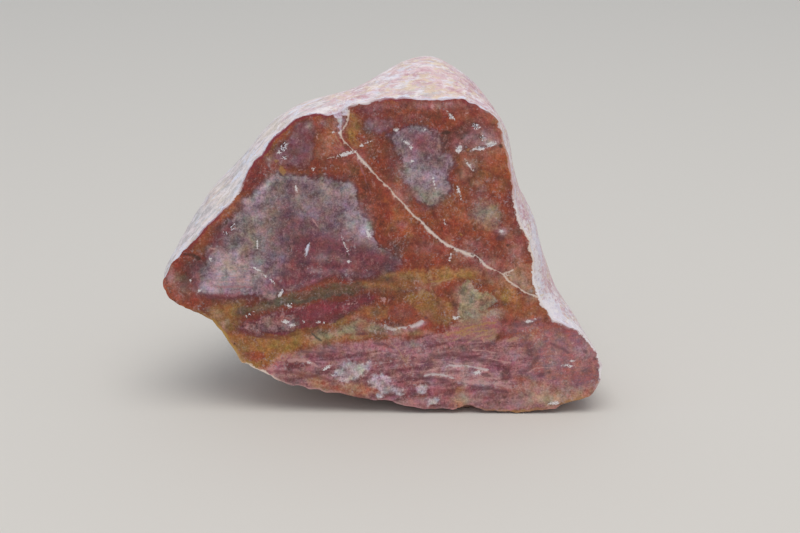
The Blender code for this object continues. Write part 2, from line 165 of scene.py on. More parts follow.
# Minerals of the cut face in the order they lie, each over those before it: its dark and light
# mineral, its grain, how softly it ends, how strongly it shows, and its outlines
ZONES = {
    "brown_shade": ("umber", "rust", "mottled", 1.4, 0.55, (
        ((-7, 19), (-5.4, 15), (-3.4, 10), (-1.8, 6), (0.6, 7), (-1, 12), (-3, 17), (-5.6, 22.5),
         (-9, 23), (-10, 20.6)),
        ((2, 33.2), (6, 33.4), (12, 33.6), (12.6, 34.8), (6, 35.2), (1.4, 34.6)),
        ((12.4, 31.4), (13, 26), (16, 24.4), (19.6, 24.8), (19.6, 28.6), (17.6, 31.6), (15, 31)),
        ((2, -5.6), (8, -5.4), (9, -7), (4.4, -7.8), (1.4, -7)))),
    "orange_field": ("rust", "orange", "mottled", 1.6, 0.65, (
        ((-45.6, 1.8), (-44, 4.4), (-41, 8), (-38, 11), (-34.6, 15), (-32.8, 15.6), (-36, 10.6),
         (-38.2, 6.6), (-41, 2.6), (-43, 2)),
        ((-26.6, 27), (-23.6, 30), (-20, 33), (-18.6, 32.6), (-21, 29.6), (-24.6, 26.8)),
        ((-15.6, 31.6), (-12, 31.8), (-10.8, 28), (-12, 24.8), (-15.6, 24), (-16.2, 28)),
        ((23.6, 33.6), (26.4, 32.6), (27, 28.6), (28.6, 24), (28.4, 20.4), (25, 20), (21, 22),
         (21, 25.4), (24.4, 26.4), (24.8, 31)),
        ((12, 16), (14.6, 15), (18.6, 13), (19.6, 10.4), (15, 9.4), (11, 11.4)),
        ((1, 15.6), (4, 12.6), (7, 8.4), (6, 4), (2.6, 5), (1, 9)),
        ((27, -8), (36, -8.6), (38, -12.4), (34, -13.4), (27.4, -12.6)))),
    "brick_field": ("wine", "brick", "mottled", 1.2, 0.75, (
        ((-34, 15.4), (-31, 22), (-29.8, 24), (-26.6, 25), (-25.2, 21.8), (-27.6, 18.4), (-30, 16.4)),
        ((-8, 36.6), (0, 37), (2, 34.8), (-1, 33.6), (-5, 33.4), (-7, 34.4)),
        ((27.6, 19.4), (29.6, 18), (31.4, 8), (33.8, 2), (30, 1), (28.6, 8), (28, 14)),
        ((26, -12.6), (28.4, -12.4), (28.6, -18.4), (26.2, -18.4)),
        ((12, -15.2), (16, -15.4), (15.8, -16.9), (11.6, -16.7)))),
    "ochre_field": ("ochre", "gold", "mottled", 1.3, 0.8, (
        ((-42, -11), (-38, -9.4), (-32, -9.6), (-34, -13), (-34.4, -16.8), (-28, -17.6), (-22, -17),
         (-15, -15.2), (-9, -12.6), (-4, -10.6), (0.6, -10.4), (1, -12.6), (-4, -13), (-9, -15.4),
         (-17, -19.6), (-22, -22.4), (-27, -24.6), (-31, -26), (-34.6, -23.4), (-39, -16.6)),
        ((-8.4, 34.8), (-6.8, 34.6), (-5.4, 31), (-5.7, 28.4), (-7.2, 27.4), (-8.6, 29), (-7.8, 32)),
        ((-2, -2.9), (3, -2.1), (10, -1.9), (22, -1.7), (23, -3.4), (12, -4.3), (4, -6.2), (-3, -6.2),
         (-6, -5)),
        ((25, -4.4), (28, -5), (31.6, -7.6), (30, -9.4), (26.6, -9)),
        ((5, -8), (9, -6.6), (12.6, -8.6), (16, -9.6), (15.4, -14), (12, -15), (10, -12.6), (6.6, -12)))),
    "rose_field": ("rosewood", "clay", "streaked", 0.9, 0.95, (
        ((-24, -22), (-21, -20.8), (-17.3, -20.4), (-11.6, -19.4), (-4.7, -18.8), (0, -18.4),
         (8, -17.3), (16.4, -16.9), (26, -18.6), (31, -18), (37, -17), (44, -16), (48, -19), (54, -24),
         (54, -40), (-30, -40), (-28, -27)),)),
    "left_clast": ("heather", "dove", "mottled", 0.35, 1, (
        ((-43, -1.6), (-41, -0.6), (-40.8, 0.8), (-40.2, 3.4), (-38.8, 4.8), (-37.6, 7), (-36.8, 9),
         (-34.4, 10), (-33.2, 12.4), (-31.8, 14.4), (-29.8, 15.4), (-29.2, 16.8), (-27.4, 17.8),
         (-26, 19), (-25.2, 21), (-23, 19.9), (-20.6, 20.2), (-18, 19.6), (-14, 19.8), (-9.4, 19.3),
         (-7.2, 17.6), (-6.5, 15.4), (-6.2, 12.6), (-4, 9.8), (-2.8, 6.4), (-2.4, 4.6), (-0.6, 2.8),
         (1.6, 1.6), (3.4, 0), (3.2, -1.2), (1, -2.2), (-1.4, -3), (-4.6, -3.7), (-9, -3), (-12, -2.8),
         (-16, -4.2), (-20, -5.6), (-23, -6.6), (-27, -7.9), (-31, -7.8), (-36, -7.7), (-42.8, -7.5),
         (-44, -5.2), (-44.1, -3)),)),
    "small_clast": ("rosewood", "mauve", "mottled", 0.7, 0.75, (
        ((-19.6, 32.4), (-16.6, 32.4), (-16.3, 28), (-16.6, 23.4), (-18, 21.8), (-21, 22), (-24, 23),
         (-25.2, 25), (-24, 27.4), (-21.4, 28)),
        ((-4.4, 30.4), (-4.4, 32.6), (-2, 33), (0, 32.6), (2, 32.4), (1.8, 31), (0, 30.4), (-2, 30.1)))),
    "right_clast": ("heather", "dove", "mottled", 0.5, 0.95, (
        ((0.4, 29.2), (2.4, 29.7), (4.6, 31.2), (6.4, 31.5), (8.6, 31), (10.4, 30.4), (12, 29.6),
         (12.8, 28), (12.5, 25.4), (13.6, 24.6), (15.4, 23.7), (15.6, 22), (14.6, 21), (14.4, 18.4),
         (15.2, 17.4), (14, 16), (13.2, 14.4), (12.2, 13.6), (10.6, 13), (8.4, 14.2), (6.8, 15.6),
         (6, 17.8), (4.4, 19.4), (3.6, 21), (4, 23), (3.6, 24.8), (2.8, 26.4), (1.6, 27.8)),)),
    "faint_clast": ("heather", "sage", "mottled", 1.2, 0.6, (
        ((19.4, 10.6), (20.6, 13.8), (23.4, 15), (26, 13.4), (27.4, 10), (26, 7.6), (23, 7.6)),)),
    "wine_shade": ("plum", "wine", "mottled", 1.6, 0.75, (
        ((-24, 5), (-18, 7.4), (-12, 4.4), (-6, 5), (-1.4, 2.6), (2.4, 0.6), (2.4, -2), (-4, -4),
         (-14, -3.6), (-20, -5.4), (-26, -6.6), (-24, -2), (-21, 1)),
        ((-27, 13), (-21, 13.4), (-20, 9.6), (-25, 9)),
        ((-45.8, 0.6), (-41.4, 0.4), (-41.2, -0.8), (-44.2, -2.8), (-44.4, -6), (-46, -4)),
        ((18.4, 31.2), (22.6, 31.4), (23.6, 29.6), (21.6, 28.4), (18.6, 29)))),
    "sage_field": ("olive", "sage", "mottled", 0.9, 0.7, (
        ((6.6, 17.4), (9.6, 17.8), (13.6, 17), (14, 15), (12.2, 13.8), (10.4, 13.2), (7.6, 15)),)),
    "moss_band": ("olive", "moss", "streaked", 0.7, 0.8, (
        ((-30, -9.6), (-26.6, -8.5), (-22.6, -8), (-20, -7), (-13.6, -5.6), (-9, -4.8), (-5, -4.4),
         (-3.6, -6.4), (-8, -7.8), (-14.6, -8.8), (-20.4, -9.8), (-24, -11), (-29, -11.6),
         (-33.6, -12.4), (-34, -11)),)),
    "slate_band": ("slate", "moss", "streaked", 0.45, 1, (
        ((-27.6, -9.2), (-24, -8.5), (-22.4, -9), (-17, -8), (-12.6, -7.5), (-7, -7.3), (-8, -8),
         (-14.6, -8.8), (-19.8, -9.6), (-24.4, -10.4), (-27.4, -10.2)),)),
    "dark_lens": ("wine", "crimson", "streaked", 0.3, 0.95, (
        ((-33.6, -14.7), (-31.4, -13.5), (-28.6, -12.5), (-24, -11.8), (-21, -10.7), (-16, -9.7),
         (-11, -8.9), (-7, -8.2), (-4.6, -7.4), (-1.6, -7.4), (-2.4, -9.4), (-6, -10), (-7.4, -11.8),
         (-11, -13.4), (-14, -14.9), (-18, -15), (-20.6, -15.6), (-23.6, -17.6), (-26, -17.1),
         (-30, -16.8), (-33.4, -16)),)),
    "pink_lens": ("plum", "blush", "mottled", 0.6, 0.85, (
        ((-33, -14.6), (-30, -13.4), (-27, -12.6), (-23.6, -12.2), (-20.6, -12.2), (-20.4, -14.6),
         (-22, -15.9), (-26, -16.1), (-30, -16.4), (-32.6, -15.8)),
        ((-29.6, -9.2), (-28.6, -8), (-26, -7.5), (-25.2, -8.2), (-27.4, -9)))),
    "red_cup": ("brick", "rust", "mottled", 0.5, 0.95, (
        ((0.6, -11.6), (1.4, -13.6), (3, -15.1), (5.4, -14.9), (7.6, -13.9), (9.2, -12.6), (8.4, -11.4),
         (5, -10), (2, -9.8)),
        ((-45, -8.4), (-38, -8.2), (-36.4, -9.2), (-40, -10.4), (-45, -10.2)),
        ((-33, -20.8), (-28.6, -21), (-27.4, -22.6), (-30.6, -23.6), (-33, -22.6)))),
    "pale_patch": ("moss", "bone", "mottled", 0.7, 0.7, (
        ((-18.6, -17.6), (-16, -16.2), (-12, -16), (-8.4, -14.8), (-6.6, -13), (-4.6, -13.4),
         (-2.4, -14), (-1.2, -14.6), (-1.2, -15.4), (-3, -16.2), (-6, -16), (-9, -16.8), (-13, -18.2),
         (-16.4, -18.6)),)),
    "bone_patch": ("moss", "bone", "mottled", 0.35, 0.9, (
        ((16.8, -7), (17.4, -5.4), (18.6, -4.6), (19.8, -4.8), (20.7, -6.2), (21.4, -7.3), (23.6, -7.1),
         (25.5, -8.2), (26, -9.4), (24.8, -10.2), (24, -11), (22.6, -11.2), (21, -12.2), (19.6, -12.4),
         (18.6, -13.6), (16.6, -13.7), (16, -12), (17.1, -10.2), (17.3, -8.6)),)),
    "tan_corner": ("ochre", "tan", "mottled", 0.5, 0.7, (
        ((28.4, -2.6), (30.4, -1), (32.6, -0.3), (34.2, 0), (34.3, -3), (33.9, -4.6), (34.8, -6),
         (33.4, -6.6), (31, -5), (29.2, -3.6)),
        ((16.4, -29), (18.4, -28.6), (19, -31), (18.6, -34), (16.6, -34.4), (16.8, -32)))),
    "streaked_tan": ("rose", "tan", "streaked", 0.8, 0.8, (
        ((16.6, -13.8), (21, -12.6), (24.4, -11), (26, -10.6), (26.4, -14), (26, -18.8), (19, -18.6),
         (12, -18), (14, -16.6)),
        ((-26, -22), (-21, -21), (-17, -21.6), (-18, -23.4), (-23, -23.2), (-24.6, -24.4)))),
    "right_field": ("mauve", "rust", "streaked", 1.2, 0.8, (
        ((28, -15), (36, -14.4), (39.6, -13.6), (45, -17), (47.4, -20), (51, -25), (49.6, -29),
         (44, -29), (38, -28), (34, -26), (34, -21), (29, -18)),)),
    "orange_foot": ("rust", "tan", "mottled", 1, 0.85, (
        ((30, -26), (34, -27.4), (40, -29), (46, -29.6), (50.6, -28), (48, -32), (42, -34), (36, -31.6),
         (30, -31)),
        ((-17, -26.4), (-12.6, -28), (-8, -28.8), (-1, -29.6), (0, -30.8), (-6, -32.4), (-12, -31.4),
         (-18, -29.6)),
        ((33.4, -16), (36.4, -15.8), (37, -19), (34.6, -20), (33.6, -18)))),
    "white_patch": ("dove", "chalk", "mottled", 0.5, 0.8, (
        ((-12.4, -27), (-11.6, -25.6), (-10, -24.6), (-9, -23.5), (-7, -23.3), (-6.2, -24.2),
         (-4.4, -23.5), (-3.3, -23.9), (-4, -25), (-5.4, -25.8), (-6, -27.2), (-8, -28.1), (-10, -27.9),
         (-11.2, -27.2)),
        ((-4, -28.8), (-3, -26.8), (0, -26.4), (1.2, -27.2), (1.2, -28.8), (3, -29.4), (4.8, -28.9),
         (4.8, -30.5), (2, -31.4), (-1, -31.6), (-2.4, -31.4), (-1.2, -30.4), (-2, -29.8),
         (-3.6, -29.6)),
        ((7, -29.4), (8.6, -28.6), (10.2, -29.2), (10, -30.6), (7.8, -30.6)),
        ((9.4, -33.2), (11.4, -32), (13.2, -31.5), (12.2, -33), (10.4, -34.1)))),
    "pink_patch": ("rose", "blush", "streaked", 0.8, 0.6, (
        ((13.6, -24.6), (18, -23.4), (24, -24.6), (26.4, -25.4), (26.2, -28), (29.8, -29), (27, -30),
         (20, -29.2), (15.8, -28), (9.6, -27), (9.4, -26.2)),
        ((34, -29), (37.6, -28.6), (38.6, -31.4), (35, -32)),
        ((-30, -25.6), (-26, -24.2), (-23.2, -24.6), (-24, -27), (-27.6, -26.8)),
        ((10.4, -28.2), (13.6, -28.2), (14.6, -30.4), (12.6, -32), (10.6, -31)))),
    "plum_patch": ("plum", "wine", "mottled", 0.45, 0.85, (
        ((-22.6, -23.4), (-19.4, -23.9), (-18.9, -25.4), (-21.4, -25.9), (-22.8, -25)),
        ((8.2, -22.8), (11, -22.4), (11, -24.4), (9, -24.8)),
        ((26.8, -26.4), (27.6, -24.7), (29.4, -25), (29.8, -27), (28.6, -28.2), (27, -27.8)),
        ((32.8, -19), (34.2, -18.8), (34.6, -22), (33.2, -22.6)),
        ((17, -19.4), (19.2, -19.2), (19, -20.8), (17, -20.6)))),
    "rind_prong": ("rind", "rind_blue", "mottled", 0.22, 1, (
        ((-12.4, 35.4), (-11.8, 33.8), (-11, 32.5), (-10.7, 31.4), (-10.1, 30.7), (-9.7, 29.7),
         (-9.3, 30.8), (-9.8, 31.6), (-9.6, 32.6), (-8.6, 33.3), (-7.9, 34.2), (-8, 35.4), (-7.8, 37),
         (-10.4, 37.6)),)),
    "rose_chip": ("crimson", "rose", "mottled", 0.2, 0.9, (
        ((-12.6, 34.8), (-11.2, 35.4), (-10.6, 34.8), (-11, 34.1), (-11.9, 34.2)),
        ((-9.8, 33), (-9.2, 33.6), (-8.8, 33), (-9.3, 31.8)))),
}

# How strongly the dark and pale rims of a zone show
ZONE_FRINGE = {
    "left_clast": 0.8, "right_clast": 0.85, "small_clast": 0.5, "pale_patch": 0.25, "pink_lens": 0.4,
}
# How far a zone's outline and a line stray from their places
ZONE_WANDER = 0.45
LINE_WANDER = 0.2
# How far right and up the pattern moves for each millimetre behind the cut face
PATTERN_LEAN = (0.15, 0.85)

# Soft stains of each mineral: place, half length, half width, tilt and strength
STAINS = {
    "plum": (
        (20, 29.8, 3, 1.6, 0, 0.5), (15.6, 25.4, 1, 2.4, 0, 0.4), (14, -28.4, 2, 1, 0, 0.4),
        (-22, -28, 2.4, 0.8, 0, 0.4), (-43.6, -5, 0.8, 3, 10, 0.8), (-39, -7.9, 4.4, 0.6, 0, 0.8),
        (-38.2, 4.4, 0.9, 2.4, -25, 0.6), (-24, 15.6, 3, 1.8, 10, 0.45), (-20, 18, 6, 1.4, 0, 0.3),
        (-23, -3, 4, 2, 0, 0.4), (3.2, 22, 0.8, 3, 5, 0.5), (11, 12.7, 3.4, 0.7, 10, 0.6),
        (3.4, 31.8, 1.8, 1.2, 0, 0.45), (-3, 34.6, 4, 1.4, 0, 0.35), (6, 33.4, 5, 1, 0, 0.4),
        (20, 28, 3, 2, 0, 0.3), (14, 27.6, 1.6, 2.6, 0, 0.4), (-19, 31, 1.6, 0.9, 40, 0.5),
        (-12, -22, 5, 2, -5, 0.35), (1, -0.6, 3, 1.3, -10, 0.35), (45.6, -20.4, 2, 0.8, -40, 0.5),
        (47, -25.4, 1.4, 0.8, 0, 0.45), (41, -26, 3, 1, -5, 0.35), (-7, -10.8, 1.4, 0.8, 10, 0.5),
        (28.6, -2.9, 0.5, 0.4, 0, 0.7)),
    "wine": (
        (23.8, 30, 1.2, 1.6, 0, 0.5), (17.4, 26.4, 1.4, 1.5, 0, 0.5), (21.6, 28.2, 1.2, 1, 0, 0.4),
        (8, 27.6, 2.6, 2, 0, 0.6), (-10, 5, 2.4, 2, 0, 0.4), (14, -28.2, 2.4, 1.2, 0, 0.5),
        (-5, -15, 1.4, 0.6, 0, 0.4), (-18, 0, 9, 5, 10, 0.3), (-4, 0, 5, 3, -10, 0.3),
        (-27, -12.6, 7, 2, 5, 0.3), (-10, 7.6, 1.6, 2.4, 0, 0.35), (-38.5, 4.5, 1.3, 2.1, 0, 0.62),
        (6, 15.4, 1.2, 1.6, 0, 0.3), (-25, 7, 3, 2.4, 0, 0.3), (-14, 12, 4, 2.4, 0, 0.35),
        (-8, 7.4, 1.6, 3, 0, 0.25), (-31, -9, 0.9, 0.7, 0, 0.8), (-21.4, 8, 3.6, 2.4, 0, 0.6),
        (-14, 6, 4, 2.4, -10, 0.45), (-10, 0, 6, 2.6, -5, 0.4), (-19, -3.4, 5, 2.2, 10, 0.55),
        (1, 0.4, 3, 1.6, -20, 0.5), (12, 25.4, 2, 2.6, 0, 0.5), (6.6, 29, 1.8, 1.6, 0, 0.4),
        (-26, 3, 2, 3, 0, 0.25), (-30.6, -1, 1.6, 1.2, 0, 0.3), (14, -30.6, 2, 2.2, 0, 0.4),
        (27, -31.6, 5, 1.6, 0, 0.45), (-20, -25.4, 3, 1, 5, 0.5), (-17.4, 9.2, 5, 0.8, 0, 0.5),
        (-5, 1.4, 2, 1.6, 0, 0.4), (-26.6, 19.8, 0.9, 2.6, -25, 0.6), (24, -21, 3, 1, -8, 0.4),
        (7, -24.8, 3, 1.2, 0, 0.3), (13, -10, 1, 2, 0, 0.3), (16, 34.6, 3, 1.6, 0, 0.3)),
    "brick": (
        (-46.6, -5.4, 2, 2.4, 0, 0.5), (2, 20, 1.6, 2, 0, 0.5), (6, 16, 1.6, 1.4, 0, 0.5),
        (2, 24, 1.4, 2, 0, 0.4), (2.4, 4.3, 2.1, 1.9, 0, 0.83), (-43, 6, 2, 1.4, 45, 0.3),
        (-13, -12.4, 3, 1, 8, 0.4), (30, 12, 1, 2.4, 10, 0.45), (-49.3, -1.4, 1.1, 0.9, 45, 0.75),
        (1, 17, 6, 1.6, -47, 0.4), (9.6, 2, 3, 3.4, 0, 0.35), (22, 4, 5, 2.4, 0, 0.35),
        (8.8, -31.7, 1.2, 0.5, 8, 0.85), (-3.8, -13.8, 0.7, 0.6, 0, 0.8), (13, -13, 2.4, 1.6, 0, 0.4),
        (-36, -15, 1.4, 1.6, 0, 0.5), (24, 35, 2, 1, -30, 0.4), (43, -18, 4, 1.6, -30, 0.35)),
    "ochre": (
        (3, 18, 1.4, 4, 0, 0.45), (14.4, 12.6, 3, 1.8, 0, 0.45), (-3.6, 28.6, 1.6, 2.4, 0, 0.35),
        (20.6, 19.6, 1.4, 2, 0, 0.3), (2, -4.4, 5, 1.2, 0, 0.45), (10, -11.6, 2.4, 1.8, 0, 0.6),
        (-34, -20.6, 2, 1.4, -50, 0.4), (-5, -14.8, 2, 0.8, 0, 0.4), (5.4, 15.6, 1.4, 1.4, 0, 0.4),
        (2.3, 7.6, 0.5, 2.6, 0, 0.6), (3.2, 12, 0.9, 1.2, 0, 0.6), (5, 5.4, 2.6, 0.5, 32, 0.5),
        (18, 12.6, 3, 1.6, 0, 0.45), (24, -8.4, 1.2, 0.8, 0, 0.5), (22.6, -9.6, 0.8, 0.6, 0, 0.6),
        (12.2, 26.8, 0.9, 0.7, 0, 0.5), (-8, 22, 3, 1, -40, 0.35), (25, 23, 3, 2, 0, 0.3),
        (-33, -22, 3, 1.6, -30, 0.35)),
    "gold": (
        (30, 0, 1.6, 1.2, 0, 0.3), (26, -4, 2, 1, 0, 0.35), (1.2, -3, 1.6, 0.45, 14, 0.85),
        (-2.6, -5.1, 2.6, 0.35, 4, 0.6), (-8, -17.7, 7, 0.7, 4, 0.7),
        (-34.4, -21.6, 4.4, 0.7, -56, 0.75), (15.6, -2.6, 1.8, 0.5, 0, 0.6), (6, -16.6, 4, 0.6, 0, 0.6),
        (-13, -18.6, 3, 0.7, 5, 0.5), (27, -5.6, 2, 1, 0, 0.4)),
    "olive": (
        (-14, 26, 1.8, 3, 0, 0.4), (-14, 29.6, 1.4, 1.4, 0, 0.25), (-40.6, -11, 2.4, 1, 0, 0.4),
        (-33, -11.6, 1.7, 0.9, 0, 0.75), (-36, -9.6, 3, 0.8, 0, 0.5), (23.6, -4.7, 2.2, 0.6, 0, 0.6),
        (-2, -6.4, 3.4, 0.6, 0, 0.6), (-8.6, 23.6, 3.4, 0.7, -12, 0.45), (-31.6, 3, 1, 0.9, 0, 0.4),
        (32.6, -17.6, 0.9, 1.3, 0, 0.6), (18, -20, 1.4, 0.6, 0, 0.45), (33, -9.7, 0.9, 0.7, 0, 0.6)),
    "umber": (
        (18, -4, 2, 1, 0, 0.22), (6, -4, 2.4, 1.2, 0, 0.22), (-33, 4, 7, 1.8, -8, 0.17),
        (-26, 8, 2, 2, 0, 0.19), (-26, 16, 2, 1.4, 0, 0.15), (12, 11.6, 3, 1, 0, 0.19),
        (14, -12, 1.6, 1.4, 0, 0.19), (-12, -12.3, 5, 1.1, 12, 0.53), (-6, -8.6, 2, 1, 0, 0.15),
        (-11.5, -7.9, 4, 0.6, 6, 0.34), (16.6, 29.4, 2.2, 1, 0, 0.41), (1.4, 19.4, 1.6, 1.6, 0, 0.26),
        (-13, 22.4, 2.4, 0.8, 0, 0.3), (-46.2, -3.8, 2.1, 3.2, 0, 0.66), (-42.2, 0, 1.8, 1.9, 0, 0.63),
        (-38, 4, 1.2, 1.6, 0, 0.34), (-38.3, 7.7, 1.8, 1.8, 0, 0.47), (-38, -8.5, 3.1, 0.9, 0, 0.53),
        (2.5, 3.7, 2.1, 1.9, 0, 0.57), (2, 0, 1.6, 1.4, 0, 0.26), (-1, -3.9, 3.6, 1, 0, 0.44),
        (-2, -11.7, 1.6, 1.3, 0, 0.5), (-10, -12.2, 2.2, 1, 0, 0.47), (5.6, 16.4, 1.2, 1.6, 0, 0.3),
        (1.6, 24.4, 1.4, 2, 0, 0.34), (22, 24, 1.6, 1.5, 0, 0.57), (-6, -32.3, 3, 0.8, -8, 0.69),
        (-22, -28.1, 2.5, 0.8, -12, 0.52), (34.2, -20, 1.6, 1.5, 0, 0.42), (-10, 20.4, 2, 1, 0, 0.26),
        (-42, -11, 2, 1.4, 0, 0.38), (-38.4, -16, 1.4, 3.4, 24, 0.45), (-16, -16.4, 3, 0.8, 0, 0.3),
        (-10, -9, 14, 3, 8, 0.19), (-28, -16, 8, 3, 0, 0.19), (6, -9, 10, 3, 0, 0.15),
        (24, -11, 5, 3, 0, 0.15), (2.4, 1.6, 1.4, 3, -10, 0.3), (-34.4, -19, 2, 3, 30, 0.22),
        (11, -13, 2, 1, 0, 0.22), (-40.6, 5, 6, 1.6, 46, 0.38), (-34, -12, 2, 1.2, 0, 0.38),
        (-30, -8.6, 6, 0.8, 0, 0.38), (0, -4.4, 6, 1, -5, 0.38), (-9, -8.4, 7, 1.2, 8, 0.26),
        (-30, -16.6, 3, 0.8, 0, 0.3), (1, 25, 3, 3, 0, 0.26), (-2, 28.4, 2.4, 1.6, 0, 0.26),
        (-6, 31.6, 1.6, 2, 0, 0.3), (14, 27.4, 1.6, 2.4, 0, 0.3), (-14.6, 23.4, 3, 1.6, 0, 0.3),
        (-13, -15.8, 7, 1.4, 8, 0.3), (-45.6, -1.6, 0.8, 2, 0, 0.52), (-42.6, -0.5, 1.6, 0.7, 0, 0.52),
        (-8.8, 1.3, 0.5, 0.7, 0, 0.38), (5, -6.6, 3, 0.6, 0, 0.38), (14.1, 30, 1.1, 0.45, 3, 0.64),
        (-14.4, -14.5, 1.4, 0.5, 0, 0.38)),
    "sage": (
        (-33, 2, 4, 3, 40, 0.3), (-27, 12, 3, 3, 0, 0.3), (-37, -1, 2.4, 1.6, 0, 0.3),
        (18.2, -8, 1.8, 1.6, 0, 0.75), (20, -12.2, 3, 1.2, 0, 0.6), (25, -12, 2.2, 1, 0, 0.5),
        (-14, -20, 2.4, 1, 0, 0.4), (-2, -16.2, 1.8, 0.8, 0, 0.45), (18.4, -6.6, 1.6, 1, 0, 0.5),
        (-30, 5, 2.4, 2, 0, 0.25), (17.8, -12, 1.5, 1.2, 0, 0.62), (31, -4.6, 2.4, 1, 0, 0.2),
        (-31, 9.4, 4, 3.4, 30, 0.3), (-37, -1.4, 1.3, 0.9, 20, 0.5), (-35.6, 3.3, 1, 0.8, 0, 0.4),
        (22.4, 29.2, 1.2, 0.7, 98, 0.45), (-26, 6.6, 1.2, 0.8, 0, 0.5), (-46.4, -7.4, 2, 1.8, 0, 0.15),
        (-48.4, -3.6, 1.6, 1.2, 0, 0.5), (21, 18.2, 1.6, 1.6, 0, 0.3), (-14.4, 18.6, 0.6, 1.4, 0, 0.5),
        (-19.8, 14, 1, 2, 0, 0.4), (33.6, -6.8, 1, 0.45, 0, 0.8)),
    "lilac": (
        (14, 24, 1.4, 1.4, 0, 0.35), (19, 28, 2.2, 1.4, 0, 0.35), (2.4, -16.6, 1.8, 0.8, 0, 0.35),
        (22, 16, 1.4, 1.2, 0, 0.3), (-14, 32, 1.2, 1, 0, 0.3), (-2, 31.6, 1.4, 0.9, 0, 0.35),
        (-22, 20, 1.8, 0.8, 0, 0.45), (-26, 23.6, 1.2, 1, 40, 0.4), (18, 20, 1.2, 1.4, 0, 0.25),
        (-30, -4, 2, 1.6, 0, 0.4), (-27.4, -5.4, 2, 1, 0, 0.4), (20, -28.4, 3, 0.8, 0, 0.4),
        (26.8, 7, 1.2, 0.9, 0, 0.8), (-34.6, -0.6, 4, 2.4, 20, 0.5), (-30, 11, 2.6, 2.6, 0, 0.4),
        (10, 18, 2.6, 3, 0, 0.4), (22, 12, 2.4, 2, 0, 0.3), (24, 28, 3, 2, 0, 0.3),
        (4, -16, 4, 1, 0, 0.3), (15, -24, 4, 1.4, 0, 0.35), (-41.2, -6.3, 2, 0.9, 0, 0.85),
        (-38.7, 1.4, 1.2, 1.8, -15, 0.6), (-35, -3.4, 6.4, 2.8, 0, 0.55),
        (-28.4, 16.7, 1.1, 0.8, 45, 0.85), (-26, 19, 3, 0.7, 55, 0.6), (-29.6, 14, 3.4, 1, 12, 0.6),
        (-7, 9.4, 2.2, 4, -28, 0.6), (-8, 16.6, 1, 2, 0, 0.5), (5.4, 21.6, 1.6, 3.6, 0, 0.5),
        (11, 20, 3, 2.4, 0, 0.35), (-14.4, 1, 2, 1, 0, 0.4), (-9, -2, 1.6, 0.5, -5, 0.5),
        (19.4, 22.6, 1.6, 1, -40, 0.45), (6.4, -19.4, 2.4, 0.7, 0, 0.5), (2, -22, 1.2, 0.5, 0, 0.5),
        (-17, 31.4, 0.8, 0.9, 0, 0.5)),
    "rose": (
        (-38, -5, 6, 0.35, 0, 0.5), (-36, -4.2, 6, 0.3, 2, 0.5), (-17.4, -4.9, 3.6, 0.4, 22, 0.7),
        (10, 27.8, 2.4, 2.6, 0, 0.45), (4, 8.6, 1.2, 0.9, 0, 0.6), (20.2, 4.1, 1.6, 1.1, 20, 0.5),
        (-40, 3, 0.9, 0.7, 0, 0.6), (-7, -13, 2, 0.7, 10, 0.5), (0, -20, 4, 1.6, 0, 0.4)),
    "pearl": (
        (22.8, 28.9, 1.2, 0.75, 100, 0.88), (-10.2, 32.6, 1.3, 2.4, 0, 0.5), (-34, 0, 2, 1.4, 0, 0.35),
        (-30, -4, 1.8, 1.4, 0, 0.35), (18, -24, 3, 0.8, 0, 0.35), (-10, -24, 1.4, 1, 0, 0.35),
        (-40, -5.6, 2.4, 1.2, 0, 0.6), (-36.5, -3.4, 4, 1.6, 0, 0.5), (-42.4, -6.6, 1, 0.6, 0, 0.8),
        (-39.4, -7, 1.2, 0.5, 0, 0.7), (-37, 0, 2.4, 1.6, 30, 0.4), (-28.6, 16.4, 1, 0.7, 45, 0.8),
        (-27, 17.8, 1.4, 0.4, 40, 0.6), (-30, 14.4, 2.4, 0.7, 12, 0.5), (-4.6, 7.6, 1.2, 2.4, -20, 0.7),
        (-7, 10, 1.6, 2.4, -30, 0.4), (-8, 16.6, 0.8, 1.4, 0, 0.4), (12, 19.6, 1.6, 1.6, 0, 0.5),
        (5, 27.6, 1.4, 0.8, -30, 0.4), (9, 30.6, 0.8, 0.6, 0, 0.4), (-22.2, -14.4, 1.2, 0.7, 20, 0.5),
        (-7.4, -25.6, 2.6, 1.2, 20, 0.4), (2, -30, 2, 0.8, 0, 0.4), (7.6, -14.9, 1.8, 0.5, 20, 0.6),
        (20.6, -26.2, 2, 0.6, 0, 0.4), (25, -28.5, 4, 0.4, 3, 0.4), (36, -30.4, 1.4, 0.7, 0, 0.5),
        (34, -13.7, 1.6, 0.4, 12, 0.5), (24, 27.4, 2, 0.6, 10, 0.5), (17, 26.2, 0.8, 0.8, 0, 0.5),
        (-10, 0.4, 1.6, 0.8, 0, 0.25), (-15, -2, 3, 0.6, 0, 0.3), (-34, 2, 1, 2, 0, 0.3)),
    "clay": (
        (13, 36.2, 8.4, 1, 0, 0.51), (-2, 35.8, 3, 0.8, 0, 0.35), (46, -20.6, 2.5, 1.7, -40, 0.64),
        (18, -24.2, 3, 1, -8, 0.4), (-49.2, -3.6, 1, 2, 0, 0.55), (46, -22, 2.8, 3.4, 15, 0.61),
        (38.6, -24, 2.4, 1.6, 0, 0.4), (18, -32.6, 2.4, 1, 0, 0.5), (36, -32.2, 4, 1, 0, 0.4),
        (30, 3.1, 1.7, 3.2, 0, 0.53), (20, -32, 4, 1.4, 0, 0.4), (35, -30, 5, 1.6, 0, 0.3),
        (-6, 24.6, 2, 1.6, -40, 0.35), (-10, 26, 2, 1.6, 0, 0.3), (40, -20, 8, 5, -30, 0.45),
        (38, -29, 8, 2.4, 0, 0.5), (24, -0.6, 7, 2.6, -25, 0.45), (25, -32.4, 5, 1.4, 0, 0.4),
